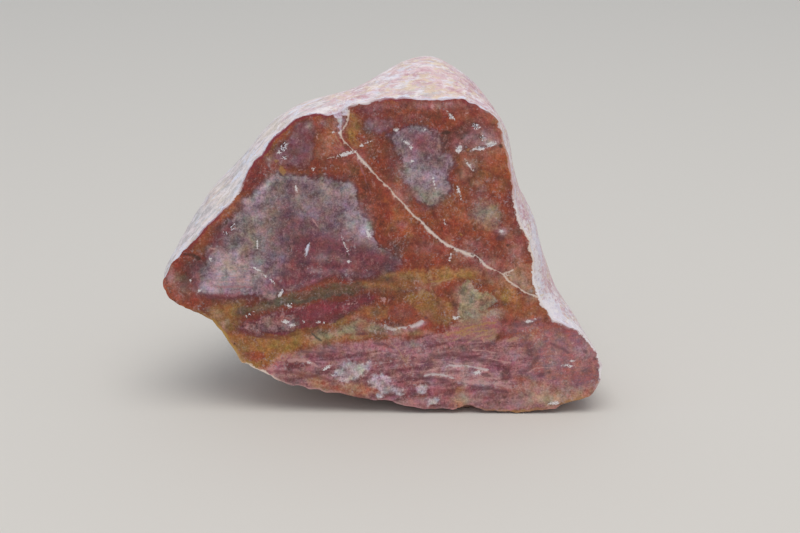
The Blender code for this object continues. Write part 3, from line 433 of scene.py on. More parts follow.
        (18, -20, 4, 1.4, 0, 0.35), (3, 15.6, 2.6, 1, -45, 0.45), (10, 4, 3, 1.6, 0, 0.25),
        (-13, -20, 4, 1.2, 0, 0.35), (46.6, -20.6, 2, 3, 40, 0.5), (8, -22, 5, 2, 0, 0.3),
        (30, -15, 4, 1.2, 10, 0.4), (22, 30, 4, 5, 0, 0.25), (4, -12, 3, 1.4, 0, 0.2)),
    "tan": (
        (-47.4, -6.8, 1.4, 1.2, 0, 0.2), (-49.6, -1, 0.8, 1, 0, 0.4), (36, -32.2, 4.8, 1.3, 0, 0.71),
        (18, -32.4, 2.2, 1, 0, 0.4), (42, -31.6, 4, 1.2, 0, 0.4), (30, -1.6, 2, 2, 0, 0.2),
        (-37.5, -14.6, 0.9, 2, 15, 0.6), (-38, -12.6, 2, 1, -40, 0.4), (-20, -26.4, 4, 0.5, 9, 0.4),
        (30.4, -18, 2, 0.5, 10, 0.6), (9.6, -5.4, 3, 1.4, 10, 0.35), (16, -1, 1, 1, 0, 0.2)),
    "crimson": (
        (-6, -8.6, 2, 1, 0, 0.3), (-12, -11.2, 6, 1.2, 12, 0.5), (-36, 7.4, 2.2, 1, 50, 0.7),
        (-43, -4, 0.8, 3, 0, 0.6), (-39, -7.7, 5, 0.6, 0, 0.6), (-24, -5, 6, 1.4, 12, 0.5),
        (-12, -1, 8, 2, 0, 0.4), (0, 0, 4, 1, 0, 0.3), (-18, -12, 8, 2, 10, 0.45),
        (-16, 4, 5, 3, 0, 0.35), (-9, 5, 3, 2.4, 0, 0.3), (8, 27.4, 2.4, 1.8, 0, 0.4),
        (1.4, 22, 0.8, 3, 5, 0.4), (-20, 0.4, 3, 1, 30, 0.3), (-33.6, -16.4, 4, 0.6, 0, 0.4)),
    "orange": (
        (18, 2.4, 3.4, 2.2, -20, 0.35), (30, 3.6, 1.4, 6, 12, 0.4), (28, -4.2, 3, 1.4, -10, 0.4),
        (22, 8, 3, 1.4, -30, 0.3), (14.6, 5.4, 3, 0.8, -40, 0.4), (2, 16.4, 3, 0.8, -45, 0.35),
        (-12.6, 27.6, 1.6, 2.6, 0, 0.35), (26, 17.6, 1.6, 2, 0, 0.3)),
    "bone": (
        (37.5, -32.3, 4.2, 1.1, 0, 0.74), (18, -8.4, 1.6, 1.9, 0, 0.64), (18, -12.4, 1.8, 1, 0, 0.35),
        (31, -4.4, 3, 1.4, -40, 0.35), (34, -8.4, 1.6, 0.9, 0, 0.4), (18, -32, 1.6, 1.6, 0, 0.4),
        (2, -15.6, 2.6, 0.8, 0, 0.4), (-30, 7, 3, 2.4, 0, 0.25), (-25, 13, 3, 3, 0, 0.1),
        (-36, 0, 2.4, 2, 0, 0.15), (-33, -3, 3, 1.6, 0, 0.3), (-13, 16, 2.4, 2.4, 0, 0.3),
        (20, -12, 3, 1.2, 0, 0.5), (25, -12, 2.2, 1, 0, 0.5), (-10, -16.4, 3, 0.8, 10, 0.4),
        (24, 11, 2, 1.8, 0, 0.35), (11.6, 15.4, 2, 1.4, 0, 0.4)),
}

# How far a stain's colour varies inside it
STAIN_VARIES = {"umber": 0.08, "brick": 0.12, "crimson": 0.12, "wine": 0.15, "others": 0.25}

# Streaks and veins of each mineral, and one painted glint in rind blue: half width, then the places each
# runs through
LINES = {
    "plum": (
        (0.55, ((10, -21.6), (13, -22), (16, -21.6), (20, -22.2), (24, -23.4), (27.4, -24.1))),
        (0.45,
         ((6.4, -26), (8.6, -27), (11, -27.4), (13.6, -27.5), (15.2, -28.6), (15.7, -30.4), (15, -32))),
        (0.35, ((19, -29), (22, -29.6), (26, -30.1), (29, -31))),
        (0.32, ((30.4, -26), (32.4, -25.4), (34, -24.4), (34.6, -23), (36, -21.6))),
        (0.4, ((28.6, -14.9), (32, -14.5), (36.4, -13.3))),
        (0.3, ((-3, -19.2), (-1, -19), (1, -19.7), (2.6, -20.4))),
        (0.28, ((-20, -20.7), (-16, -21.4), (-11, -21))),
        (0.3, ((38, -19), (40.6, -19.8), (43, -21.6))),
        (0.3, ((16, -18.6), (19, -18.2), (23, -18.8)))),
    "slate": (
        (0.16, ((-17.3, -16.3), (-16, -17.4), (-14.5, -18.7))),),
    "wine": (
        (0.34, ((-43.9, -4.6), (-43, -7.5), (-38.4, -8.2), (-33, -8.1), (-29, -8.4))),
        (0.3, ((-41.2, 0.4), (-39, 4.4), (-37.4, 7.4))),
        (0.3, ((-34.6, -15.4), (-30.4, -17.3), (-26, -17.7), (-23.6, -18.1))),
        (0.35, ((-26, -25.6), (-22, -26), (-17, -26.7), (-13, -27.6))),
        (0.3, ((14, -25.9), (16, -25.7), (18, -26))),
        (0.16, ((-29.8, -9.5), (-28, -9), (-26.4, -8.4)))),
    "gold": (
        (0.2, ((14, -17.4), (16.6, -16.6), (18.6, -15.6), (22, -14.6), (26, -13.9))),
        (0.16, ((17.6, -17.6), (20, -16.4), (24, -15.8))),
        (0.16, ((9.4, -4.9), (11.4, -4.5), (13.8, -4)))),
    "rose": (
        (0.2, ((-39.6, -5.8), (-35, -5.6), (-30, -5.9))),
        (0.24, ((-36, -7.8), (-34.4, -7.6), (-33.2, -6.8))),
        (0.14, ((-6.2, 24.2), (-5, 21), (-3.7, 17), (-3, 15.4)))),
    "tan": (
        (0.14, ((15, -19), (19, -16.6), (22.4, -14.6))),
        (0.13, ((18, -19.6), (22, -17.2), (25.6, -15.2))),
        (0.13, ((2, -19.4), (4, -21.6), (5, -24))),
        (0.13, ((7, -19), (5.8, -21.4), (5, -24))),
        (0.12, ((10, -6), (13.4, -4.2), (16.4, -3.4))),
        (0.12, ((12, -8.4), (10.4, -6), (9.6, -2.4))),
        (0.2, ((7, -2), (7.9, -3.8), (8.4, -5))),
        (0.18, ((10.4, -1.8), (10.6, -3), (10.3, -4.6))),
        (0.2, ((9.4, -5.8), (8.4, -7.6), (7.4, -9.2))),
        (0.22, ((27.8, -18.7), (29.6, -17.9), (31.4, -17.9))),
        (0.12, ((-11.1, 29.6), (-10.6, 28.2), (-9.6, 27))),
        (0.1, ((-11.8, 28.6), (-11, 27.2), (-9.8, 26.2)))),
    "blush": (
        (0.12, ((-39.6, -3.4), (-35.6, -3), (-31, -3.3))),
        (0.12, ((-38.4, -4.7), (-34, -4.4), (-29.4, -4.8))),
        (0.11, ((-36, -1.8), (-33, -1.5), (-30, -1.8))),
        (0.3, ((-22.8, -23), (-20, -22.9), (-17.4, -23.4), (-15.4, -24.8))),
        (0.26, ((16, -28.3), (19, -28.2), (22, -28.4), (25, -28.8), (29.6, -29.3))),
        (0.2, ((20, -20.4), (23, -20.8), (26, -21.4))),
        (0.16, ((-16.6, 10.4), (-15.8, 9), (-15.2, 8))),
        (0.16, ((11.6, -23.3), (15, -23.6), (18, -24), (21, -23.6))),
        (0.14, ((17, -26), (20, -26.6), (23, -26.5), (26, -26.2))),
        (0.14, ((9.4, -25.6), (11.4, -24.9), (13.4, -24.7))),
        (0.16, ((20, -27.7), (23.4, -27.1), (27, -27.7))),
        (0.13, ((4.6, -23.6), (7.4, -24.1), (10.4, -23.8))),
        (0.16, ((23, -22.3), (26, -23.3), (29.6, -23.6))),
        (0.13, ((33, -25.6), (36, -24.8), (40, -25))),
        (0.13, ((-4, -21.8), (0, -21.2), (3.4, -22))),
        (0.12, ((12.4, -26.9), (15.4, -26.6), (18.4, -27.2)))),
    "chalk": (
        (0.28,
         ((8, 9.7), (9, 8.8), (10.6, 7.1), (12.6, 5.2), (14, 4.4), (15.6, 3.4), (17, 2.8), (19.6, 2),
          (21.4, 1), (22.4, 0.2), (23.4, -0.8))),
        (0.26, ((-6.6, 25.2), (-6, 24.6), (-4.4, 22.8), (-2.9, 21.1))),
        (0.24, ((8.8, -26.8), (10.6, -26.2), (12, -26.3), (14, -26.7), (16.2, -27.7))),
        (0.2, ((14, -25), (15.4, -24.4), (18, -24.3), (22, -25), (24.4, -25.4))),
        (0.36, ((-0.2, -14.4), (0.5, -15.3), (1.6, -15.9), (2.8, -15.7))),
        (0.2, ((2.6, -15.6), (4, -15.3), (5.4, -15.3))),
        (0.3, ((5.2, -15.2), (6.6, -14.8), (7.8, -14.4), (9, -13.4)))),
    # A painted glint: a cold white streak of light on the polished face, not a vein
    "rind_blue": (
        (0.3, ((-17.4, 4.8), (-17.8, 3.2), (-18.3, 1.3))),),
    "cream": (
        (0.17,
         ((-9.8, 30.8), (-9.9, 29), (-9.3, 27.9), (-8.6, 27), (-7.2, 25.9), (-6, 24.6), (-4.4, 22.8),
          (-2, 20), (0.4, 17.6), (2, 15.8), (3.6, 14.2), (5.6, 12.2), (7.4, 10.2), (9, 8.8),
          (10.6, 7.1), (12.6, 5.2), (14, 4.4), (15.6, 3.4), (17, 2.8), (19.6, 2), (21.4, 1),
          (22.4, 0.2), (23.4, -0.8), (24.6, -1.4), (26.8, -2.6), (27.6, -3), (28.6, -4.2), (29.6, -5.2),
          (30.8, -5.9), (32, -6.7), (33, -7.4), (34.4, -7.8), (36.4, -8.3))),
        (0.26, ((-8.1, 35.6), (-8.1, 33.8), (-8.7, 32), (-9.6, 30.4))),
        (0.12, ((27.2, -2.6), (28.4, -2.3), (29.8, -1.5))),
        (0.12, ((-13.4, 23.6), (-12.4, 24), (-11.2, 24.3)))),
    "umber": (
        (0.4, ((-46.6, 1.7), (-44.4, 1.8), (-43.4, 1.2), (-42.2, 0.7))),),
}

LINE_STRENGTH = {
    "plum": 0.55, "slate": 0.85, "wine": 0.6, "gold": 0.6, "rose": 0.6, "tan": 0.5, "blush": 0.65,
    "chalk": 0.6, "rind_blue": 0.85, "cream": 0.85, "umber": 1.0,
}
# How far from a line its colour may show, and how long its tapered ends are
LINE_REACH = 0.9
LINE_END = 0.6

# Small crisp marks of each mineral, the white ones partly painted glints: place, half length, half width and
# tilt
MARKS = {
    "plum": (
        (26.4, 5.6, 1.15, 0.75, 0), (0.9, -21.6, 0.8, 0.4, 10), (-5.2, -16.8, 1.2, 0.34, 2),
        (9.5, -13, 0.4, 0.35, 0), (23.6, -26.6, 1.1, 0.4, -10), (36.2, -26.6, 1, 0.5, 20),
        (38.2, -26, 0.5, 0.35, 0), (18.6, -11.8, 0.45, 0.3, 0), (-35.4, 8.6, 0.9, 0.5, 55),
        (-17.9, -22, 0.5, 0.4, 0), (46.4, -21, 0.6, 0.4, -30), (-35.4, 7.4, 1.1, 0.35, 0)),
    "umber": (
        (26.4, 26.9, 0.55, 0.42, -10), (14, 29.9, 1.2, 0.45, 4), (20.2, 1.7, 0.35, 0.22, -30),
        (28.4, 4, 0.45, 0.28, 0), (-15, 21.5, 1.6, 0.15, 0), (17.6, 28.6, 0.4, 0.3, 0),
        (-36.2, 9.2, 0.5, 0.25, 60), (-8.7, 1.6, 0.3, 0.5, 0), (20.9, 31.9, 0.5, 0.25, 0),
        (-26.8, -23.2, 0.2, 0.2, 0), (-34.8, -19.2, 0.25, 0.3, 0), (-31.4, -13, 0.7, 0.2, 10)),
    "gold": (
        (-27, 24.9, 0.5, 0.34, 20), (-24.8, 23.4, 0.55, 0.4, -20), (-23.3, 21.2, 1.3, 0.65, 110),
        (-8, 29.6, 0.9, 0.35, 100), (19, 26, 0.3, 0.2, 0), (17.4, 6.4, 0.4, 0.25, 0)),
    "blush": (
        (-0.3, -8.7, 0.75, 0.5, 60), (-7.4, -9.6, 1.2, 0.28, 12), (-19.4, 21.4, 0.45, 0.3, 0),
        (-15.3, 29.2, 0.6, 0.18, 80), (-39.4, 3.2, 0.4, 0.25, 0), (-28.1, -0.9, 0.25, 0.3, 0),
        (-29.2, 2.8, 0.2, 0.35, 0), (17.1, 27.4, 0.5, 0.3, 70), (38.4, -23.6, 0.3, 0.25, 0),
        (-36.4, 7, 0.5, 0.16, 40), (-34.2, 8, 0.22, 0.3, 0), (10.8, 35.8, 0.35, 0.4, 0),
        (18.8, 34.4, 0.25, 0.2, 0), (21, 35.2, 0.3, 0.2, 0), (5, -22, 0.3, 0.25, 0),
        (4.6, -21, 0.25, 0.2, 0), (5.4, -23.2, 0.25, 0.25, 0), (12, -24.8, 0.5, 0.2, 20),
        (11, -25.4, 0.4, 0.2, 0), (-20, -20.6, 0.3, 0.2, 0), (41, -17.6, 0.3, 0.2, 0),
        (43.6, -19, 0.35, 0.2, 20), (39.6, -21.4, 0.35, 0.2, -20)),
    # White marks: partly white specks of the stone, partly painted glints where the quartz in the vugs and
    # the polish catch the light
    "chalk": (
        (-8.7, 25.05, 2.3, 0.5, 17), (26.7, 7.3, 0.35, 0.3, 0), (-44.6, -4.2, 0.38, 0.32, 0),
        (-42.6, -6.6, 0.6, 0.35, 20), (-24.1, -7.4, 0.8, 0.5, 75), (-22.2, -10.2, 0.75, 0.42, -35),
        (-31.5, -12.4, 0.55, 0.2, 25), (-30.4, -11.6, 0.24, 0.2, 0), (-25.8, -4.5, 0.6, 0.2, -52),
        (-21.5, -14.8, 0.6, 0.4, 20), (-22.9, -14, 0.8, 0.5, 0), (-18.8, -14, 0.2, 0.18, 0),
        (-15.2, -14, 0.35, 0.2, 0), (-14, -14.2, 0.22, 0.3, 0), (-3.7, 6.5, 0.85, 0.4, 102),
        (-9, 3.7, 1.3, 0.17, 112), (-8.6, 2.6, 0.4, 0.26, 130), (-8.3, 0.2, 0.33, 0.3, 0),
        (-18.2, 1.8, 0.6, 0.24, 78), (-16.3, 21.6, 0.6, 0.32, 15), (-20.2, 17.2, 0.5, 0.16, 95),
        (2.8, 30.6, 0.6, 0.36, 15), (4.9, 27.7, 0.9, 0.24, -28), (5.9, 26.5, 0.5, 0.28, 100),
        (6.3, 23.3, 0.32, 0.3, 0), (9, 30.5, 0.45, 0.28, 90), (11.2, 18.7, 1.1, 0.2, 102),
        (15.1, 33.7, 0.8, 0.28, -50), (16.9, 26.1, 0.95, 0.62, 60), (20.5, 31.6, 0.6, 0.22, -35),
        (21.3, 31, 0.45, 0.2, 20), (24.3, 27.2, 1.4, 0.5, 14), (22, 26.3, 1.1, 0.46, 8),
        (20.3, 26.1, 0.4, 0.3, 20), (19.3, 22.3, 0.9, 0.22, -55), (20.3, 21.3, 0.5, 0.24, 0),
        (16.8, 16.8, 0.8, 0.28, 105), (17.4, 14.8, 0.34, 0.16, 100), (13.8, 9.2, 0.5, 0.28, 110),
        (15, 1.1, 0.8, 0.2, 75), (16.6, -13, 0.85, 0.45, 5), (33.4, -13.8, 0.7, 0.22, 15),
        (34.7, -13.4, 0.4, 0.17, 15), (43.4, -23.2, 0.6, 0.22, 0), (42.3, -24.4, 0.9, 0.17, -5),
        (-12.1, -26.6, 0.34, 0.28, 0), (-13.7, -25, 1, 0.34, 35), (-17.6, -23.6, 0.5, 0.28, 0),
        (39.4, -33.3, 1.3, 0.3, 3), (-29.2, 4.2, 0.9, 0.15, 90), (-40, 0.8, 0.5, 0.2, 100),
        (-5.2, 27, 0.34, 0.22, 20), (-3.7, 27.7, 0.5, 0.14, 20), (-11.8, 30, 0.25, 0.2, 0),
        (21.4, -26, 0.9, 0.5, 10), (-27.5, -3.2, 0.6, 0.14, -40), (-29.6, -1.6, 0.7, 0.12, -25),
        (-24, 25.4, 0.4, 0.32, 0), (-23.4, 26.9, 0.3, 0.24, 0), (-22.1, 27.3, 0.2, 0.18, 0),
        (-23, 24.3, 0.34, 0.28, 0), (-22.4, 24, 0.2, 0.18, 0)),
}

MARK_STRENGTH = {"plum": 0.65, "umber": 0.8, "gold": 0.5, "blush": 0.6, "chalk": 0.95}

# Mineral that shows along the sawn edge: place, half length, half width, tilt and strength.
# Down the right edge the cream, blush and white rims are partly a painted highlight on the chipped bevel
RIMS = {
    "crimson": (
        (-24, 27, 13, 5, 45, 1), (-15.4, 33.4, 3, 1.6, 0, 1), (0, 37, 7.4, 2.4, 0, 0.9),
        (-40, 9, 9, 3, 45, 0.7), (16, 37, 8, 2, 0, 0.4), (40, -14, 5, 2, -30, 0.5)),
    "gold": (
        (-36, -19, 9, 3, -52, 1), (30, -35.4, 10, 1.6, 0, 0.5), (27.6, 24, 6, 2, 100, 0.5),
        (44, -32.6, 5, 1.6, 0, 0.4)),
    "cream": ((-29, -26, 5, 2.4, -25, 1), (32.6, 4, 12, 2, 105, 1), (35.4, -8, 4, 2, -50, 0.9)),
    "blush": ((-17, -30, 9, 2.4, -14, 0.5), (4, -34, 6, 1.6, -8, 0.4), (29, 20, 8, 2, 105, 1)),
    "rind_white": (
        (-5, 37, 3.6, 1.4, 0, 0.8), (-34.6, 15.6, 3, 1.6, 50, 0.9), (35, -6, 6, 2, 110, 1),
        (38, -12, 4, 2, -40, 0.8), (47.6, -20, 7, 2, -55, 1), (50.4, -26, 3, 2, 90, 0.9),
        (30.6, 12, 4, 1.6, 110, 0.8), (26, 31.6, 4, 2, -60, 0.5)),
}

# How far each of them reaches from the edge
RIM_WIDTH = {"crimson": 0.9, "gold": 0.8, "cream": 0.55, "blush": 0.55, "rind_white": 0.55}

# Open vugs lined with quartz: place, half length, half width, tilt and depth
VUGS = (
    (-23, 26.6, 1.5, 0.7, 70, 0.55), (-22.7, 24.2, 0.6, 0.5, 0, 0.4), (15, 33.4, 0.6, 0.5, 0, 0.45),
    (20.6, 31.4, 0.9, 0.7, 20, 0.6), (16.9, 26.1, 0.5, 0.4, 0, 0.4), (22.3, 28.7, 0.9, 0.6, 10, 0.5),
    (22.9, 26.6, 2.4, 0.4, 12, 0.45), (-35, 8.2, 1, 0.5, 60, 0.45), (-36.6, 6.8, 0.5, 0.4, 0, 0.35),
    (-23.6, -6.8, 0.5, 0.35, 50, 0.25), (-22, -10, 0.4, 0.3, 0, 0.25),
    (-31.2, -12.2, 0.5, 0.35, 20, 0.35), (-26, -4, 0.35, 0.3, 0, 0.3),
)

# Patches of the rind's colours, by where each is seen from the front: place, half length,
# half width, tilt and strength. The cold white, white and light rosy patches down the right
# side and on the right shoulder are partly painted light that brightens rind lying in shade
RIND_PATCHES = {
    "rind_pink": (
        (20.6, 43, 2.6, 3.6, -35, 0.75), (16, 44.4, 4, 1.2, -10, 0.4), (25, 36.6, 1.2, 3.4, -35, 0.6),
        (-11, 34.8, 2.4, 0.7, 5, 0.9), (-22.5, 36.4, 3, 0.7, 30, 0.6), (-5, 39, 2.6, 0.9, 15, 0.5),
        (3, 42.6, 3, 0.8, 20, 0.4), (38.6, -5, 1.6, 5, 25, 0.6), (42.6, -12, 2.2, 0.8, -45, 0.6),
        (32, 12, 1, 5, 15, 0.5), (12, 46.4, 3, 0.8, 0, 0.35)),
    "rind_yellow": (
        (3, 39.6, 6, 1, 0, 0.6), (13, 40, 3, 1.2, 0, 0.4), (9, 44, 3, 0.8, 0, 0.4),
        (33.4, 6, 0.9, 4, 10, 0.5), (-26, 31.6, 3, 0.8, 40, 0.3)),
    # The first three patches and the last, down the right side, are partly painted sky light on shaded rind
    "rind_blue": (
        (38.6, -10.6, 2.2, 3.6, 30, 1.6), (36, -6, 1.2, 4, 12, 1.2), (35.6, 5, 1.2, 6, 12, 1),
        (-30, 24.6, 4, 1, 55, 0.8), (-27.6, 27, 1.6, 0.8, 55, 0.7), (4, 45.4, 3, 1, 25, 0.5),
        (-12, 36.6, 4, 0.9, 20, 0.5), (44, -15, 3, 0.7, -40, 0.8)),
    "rind_grey": (
        (-38, 12.4, 7, 1.4, 45, 0.4), (-14.6, 37.4, 2, 0.8, 0, 0.4), (36.6, 1, 1, 3, 10, 0.3)),
    # These light rosy patches on the right shoulder and the right side are partly painted light on shaded
    # rind
    "rind_rose": (
        (16, 42, 8, 3, -25, 0.5), (23, 38, 2, 5, -35, 1), (38, 0, 2, 7, 15, 0.8),
        (31, 16, 1, 8, 15, 0.8)),
    # The white patches down the right side are partly painted light on shaded rind
    "rind_white": (
        (37.6, -10, 2, 3, 30, 1.3), (-33, 20, 8, 1, 50, 0.7), (-16, 35, 4, 0.8, 0, 0.6),
        (0, 38, 8, 0.8, 5, 0.4), (34.6, 0, 1.4, 10, 12, 1), (28, 27, 0.8, 4, 20, 0.8),
        (45, -16, 4, 1, -42, 1)),
}

# Streaks of the rind's own colours, in the order they lie: shift of their noise, its low and high
# end, their strength, and how much of it is left on the left slope
RIND_STREAKS = {
    "rind_rose": (23.0, 0.47, 0.56, 0.65, 0.15),
    "rind_yellow": (40.0, 0.50, 0.59, 0.7, 0.45),
    "rind_grey": (51.0, 0.55, 0.62, 0.6, 1.2),
    "rind_pink": (57.0, 0.54, 0.64, 0.7, 0.45),
    "rind_blue": (71.0, 0.53, 0.61, 0.55, 1.6),
    "rind_white": (88.0, 0.55, 0.62, 0.8, 1.0),
}

# The rind ends along a line on the cut face that falls to the right and sinks towards the back
RIND_END, RIND_FALL, RIND_SINK = -15.6, -0.207, -0.15
RIND_RAGGED = 2.4
# The rind's streaks bend here, in millimetres, and follow the slope on the left of these places
RIND_BEND = (-16.0, 0.0, 66.0)
LEFT_SLOPE = math.radians(46)
LEFT_SLOPE_X = (-8.0, -24.0)
# The view from the front looks down by this slope
FRONT_SLOPE = math.tan(math.radians(10))

POLISHED_ROUGHNESS = (0.16, 0.34)
BROKEN_ROUGHNESS = 0.5
RIND_ROUGHNESS = 0.72
QUARTZ_IOR = 1.54

# How near a point lies to the cut or to the floor to count as on it
ON_CUT = 0.05
RESTING = 0.05
# How squarely a face points out of the cut to be part of it
FACES_OUT = 0.999
# Points nearer than this are one point, and shorter lengths than the last aren't divided by
MERGE = 0.001
SAME_PLACE = 1e-7
TINY = 1e-9
# Distance between the sawn edge's points, and the free strip inside it, for each of the face's spacing
EDGE_SPACING = 1.25
EDGE_CLEARANCE = 0.6
# How far the noise of the chips is stretched to reach their depth
CHIP_REACH = 1.6
# How often and how far the skin's points are drawn towards their neighbours
RELAX_PASSES = 14
RELAX_STEP = 0.6
# How far from the sawn edge, and between which heights over the floor, the relief grows to its depth
RELIEF_FROM_EDGE = 2.5
RELIEF_FROM_FLOOR = (0.02, 0.8)


# Geometry of the stone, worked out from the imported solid

def sizes():
    """The sizes that a user may change"""
    return bpy.context.scene.jasper_sizes


def minerals():
    """The colours that a user may change"""
    return bpy.context.scene.jasper_minerals


def place(u, v, depth=0.0):
    """Millimetre points of places given on the cut face and at a depth behind it"""
    u, v, depth = np.broadcast_arrays(u, v, depth)
    return MIDDLE + u[..., None] * RIGHT + v[..., None] * UP - depth[..., None] * OUT


def face_places(points):
    """(u, v) and depth of millimetre points"""
    off = points - MIDDLE
    return np.stack((off @ RIGHT, off @ UP), axis=1), -(off @ OUT)


def wander(points, size, octaves, seed):
    """Smooth noise in three directions at each point, about -1 to 1, with features of this size"""
    shift = Vector((seed * 31.7, seed * -17.9, seed * 11.3))
    found = np.zeros((len(points), 3))
    for row, point in enumerate(points):
        found[row] = noise.turbulence_vector(Vector(point) / size + shift, octaves, False)
    return found


def packed_surface():
    """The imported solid's surface as a tree for rays, and the points of its sawn edge, in millimetres"""
    solid = bmesh.new()
    solid.from_mesh(frame["nodes"][STONE].data)
    bmesh.ops.scale(solid, vec=(1 / MM,) * 3, verts=solid.verts)
    bmesh.ops.remove_doubles(solid, verts=solid.verts, dist=MERGE)
    solid.normal_update()

    def sawn(face):
        """Whether a face lies in the cut"""
        _, depth = face_places(np.array(face.verts[0].co)[None])
        return face.normal.dot(Vector(OUT)) > FACES_OUT and abs(depth[0]) < ON_CUT

    edge = [line for line in solid.edges if len({sawn(face) for face in line.link_faces}) == 2]
    rim = np.unique([corner.co for line in edge for corner in line.verts], axis=0)
    tree = BVHTree.FromBMesh(solid)
    solid.free()
    return tree, rim


def rounded(outline, times=2, closed=True):
    """The outline with its corners cut"""
    line = np.array(outline, float)
    for _ in range(times):
        after = np.roll(line, -1, axis=0)
        pairs = np.stack((0.75 * line + 0.25 * after, 0.25 * line + 0.75 * after), axis=1).reshape(-1, 2)
        line = pairs if closed else np.vstack((line[:1], pairs[1:-3], line[-1:]))
    return line


def evenly(loop, count):
    """This many places at equal distances round a closed line"""
    ring = np.vstack((loop, loop[:1]))
    run = np.concatenate(([0], np.cumsum(np.linalg.norm(np.diff(ring, axis=0), axis=1))))
    at = np.linspace(0, run[-1], count, endpoint=False)
    return np.stack([np.interp(at, run, ring[:, axis]) for axis in range(ring.shape[1])], axis=1)


def sawn_edge(rim, spacing, chip):
    """The cut face's edge as a closed line of (u, v), smooth but for small chips"""
    places, _ = face_places(rim)
    places = places[np.argsort(np.arctan2(places[:, 1], places[:, 0]))]
    coarse = rounded(places)
    length = np.linalg.norm(np.diff(np.vstack((coarse, coarse[:1])), axis=0), axis=1).sum()
    edge = evenly(coarse, int(length / spacing))
    ragged = wander(place(*edge.T), size=2.4, octaves=4, seed=3)
    return edge + chip * CHIP_REACH * ragged[:, (0, 2)]


def to_segments(places, line, closed):
    """Nearest distance from places to a line, with the side and the run along it at the nearest stretch"""
    starts = line if closed else line[:-1]
    ends = np.roll(line, -1, axis=0) if closed else line[1:]
    best = np.full(len(places), np.inf)
    offset = np.zeros(len(places))
    along = np.zeros(len(places))
    run = 0.0
    for number, (start, end) in enumerate(zip(starts, ends)):
        way = end - start
        length = np.linalg.norm(way)
        if length < TINY:
            continue
        way = way / length
        reach = (places - start) @ way
        side = (places - start) @ np.array((-way[1], way[0]))
        held = np.clip(reach, 0, length)
        distance = np.hypot(side, reach - held)
        nearer = distance < best
        best = np.where(nearer, distance, best)
        offset = np.where(nearer, side, offset)
        first, last = number == 0, number == len(starts) - 1
        free = np.where((reach < 0) & first | (reach > length) & last, reach, held)
        along = np.where(nearer, run + free, along)
        run += length
    return best, offset, along, run


def inside(places, outline):
    """Whether each place is inside a closed outline"""
    x, y = places[:, 0], places[:, 1]
    found = np.zeros(len(places), bool)
    for (x0, y0), (x1, y1) in zip(outline, np.roll(outline, -1, axis=0)):
        if y0 == y1:
            continue
        crosses = (y0 > y) != (y1 > y)
        found ^= crosses & (x < x0 + (y - y0) * (x1 - x0) / (y1 - y0))
    return found


def signed_distance(places, outline):
    """Distance to a closed outline, positive inside it"""
    return to_segments(places, outline, True)[0] * np.where(inside(places, outline), 1, -1)


def honeycomb(low, high, spacing):
    """Points in staggered rows over a rectangle"""
    rows = np.arange(low[1], high[1], spacing * math.sqrt(3) / 2)
    columns = np.arange(low[0], high[0], spacing)
    x, y = np.meshgrid(columns, rows)
    x[1::2] += spacing / 2
    return np.stack((x.ravel(), y.ravel()), axis=1)


def filled(loop, spacing, spots=(), spot_spacing=0.0):
    """Points and faces of an even disc inside a closed loop, finer in the spots, the loop's points first"""
    points = honeycomb(loop.min(axis=0), loop.max(axis=0), spacing)
    points = points[inside(points, loop)]
    points = points[to_segments(points, loop, True)[0] > EDGE_CLEARANCE * spacing]
    for u, v, half_length, half_width, tilt in spots:
        wide = (u, v, half_length + spacing / 2, half_width + spacing / 2, tilt)
        reach = half_length + spacing
        cell = honeycomb((u - reach, v - reach), (u + reach, v + reach), spot_spacing)
        cell = cell[oval(cell, *wide) < 1]
        cell = cell[inside(cell, loop)]
        cell = cell[to_segments(cell, loop, True)[0] > EDGE_CLEARANCE * spot_spacing]
        points = np.vstack((points[oval(points, *wide) > 1.1], cell))
    every = [Vector(point) for point in np.vstack((loop, points)).tolist()]
    count = len(loop)
    edges = [(start, (start + 1) % count) for start in range(count)]
    made, _, faces, _, _, _ = delaunay_2d_cdt(every, edges, [], 1, SAME_PLACE)
    if len(made) != len(every):
        raise RuntimeError(f"the disc has {len(made)} points where {len(every)} went in")
    faces = np.array(faces)
    flat = np.array(made)
    a, b, c = (flat[faces[:, corner]] for corner in range(3))
    turned = np.cross(b - a, c - a) < 0
    faces[turned] = faces[turned][:, ::-1]
    return flat, faces


def oval(places, u, v, half_length, half_width, tilt):
    """How far out of an oval each place is, 1 on its edge"""
    turn = math.radians(tilt)
    off = places - np.array((u, v))
    along = off @ np.array((math.cos(turn), math.sin(turn)))
    across = off @ np.array((-math.sin(turn), math.cos(turn)))
    return np.hypot(along / half_length, across / half_width)


def smooth_step(value, low, high):
    """0 below low, 1 above high, and an even curve between them"""
    part = np.clip((value - low) / (high - low), 0, 1)
    return part * part * (3 - 2 * part)


def sunk_face(flat, loop_count):
    """Millimetre points of the polished face with its vugs, and how much each belongs to a vug"""
    depth = np.zeros(len(flat))
    druse = np.zeros(len(flat))
    wobble = wander(place(*flat.T), size=0.7, octaves=3, seed=9)
    for u, v, half_length, half_width, tilt, deep in VUGS:
        out = oval(flat + 0.22 * wobble[:, (0, 2)], u, v, half_length, half_width, tilt)
        bowl = 1 - smooth_step(out, 0.45, 1.15)
        depth = np.maximum(depth, deep * bowl * (0.75 + 0.5 * wobble[:, 1]))
        druse = np.maximum(druse, 1 - smooth_step(out, 0.8, 1.0))
    depth[:loop_count] = 0
    druse[:loop_count] = 0
    return place(*flat.T, np.maximum(depth, 0)), druse


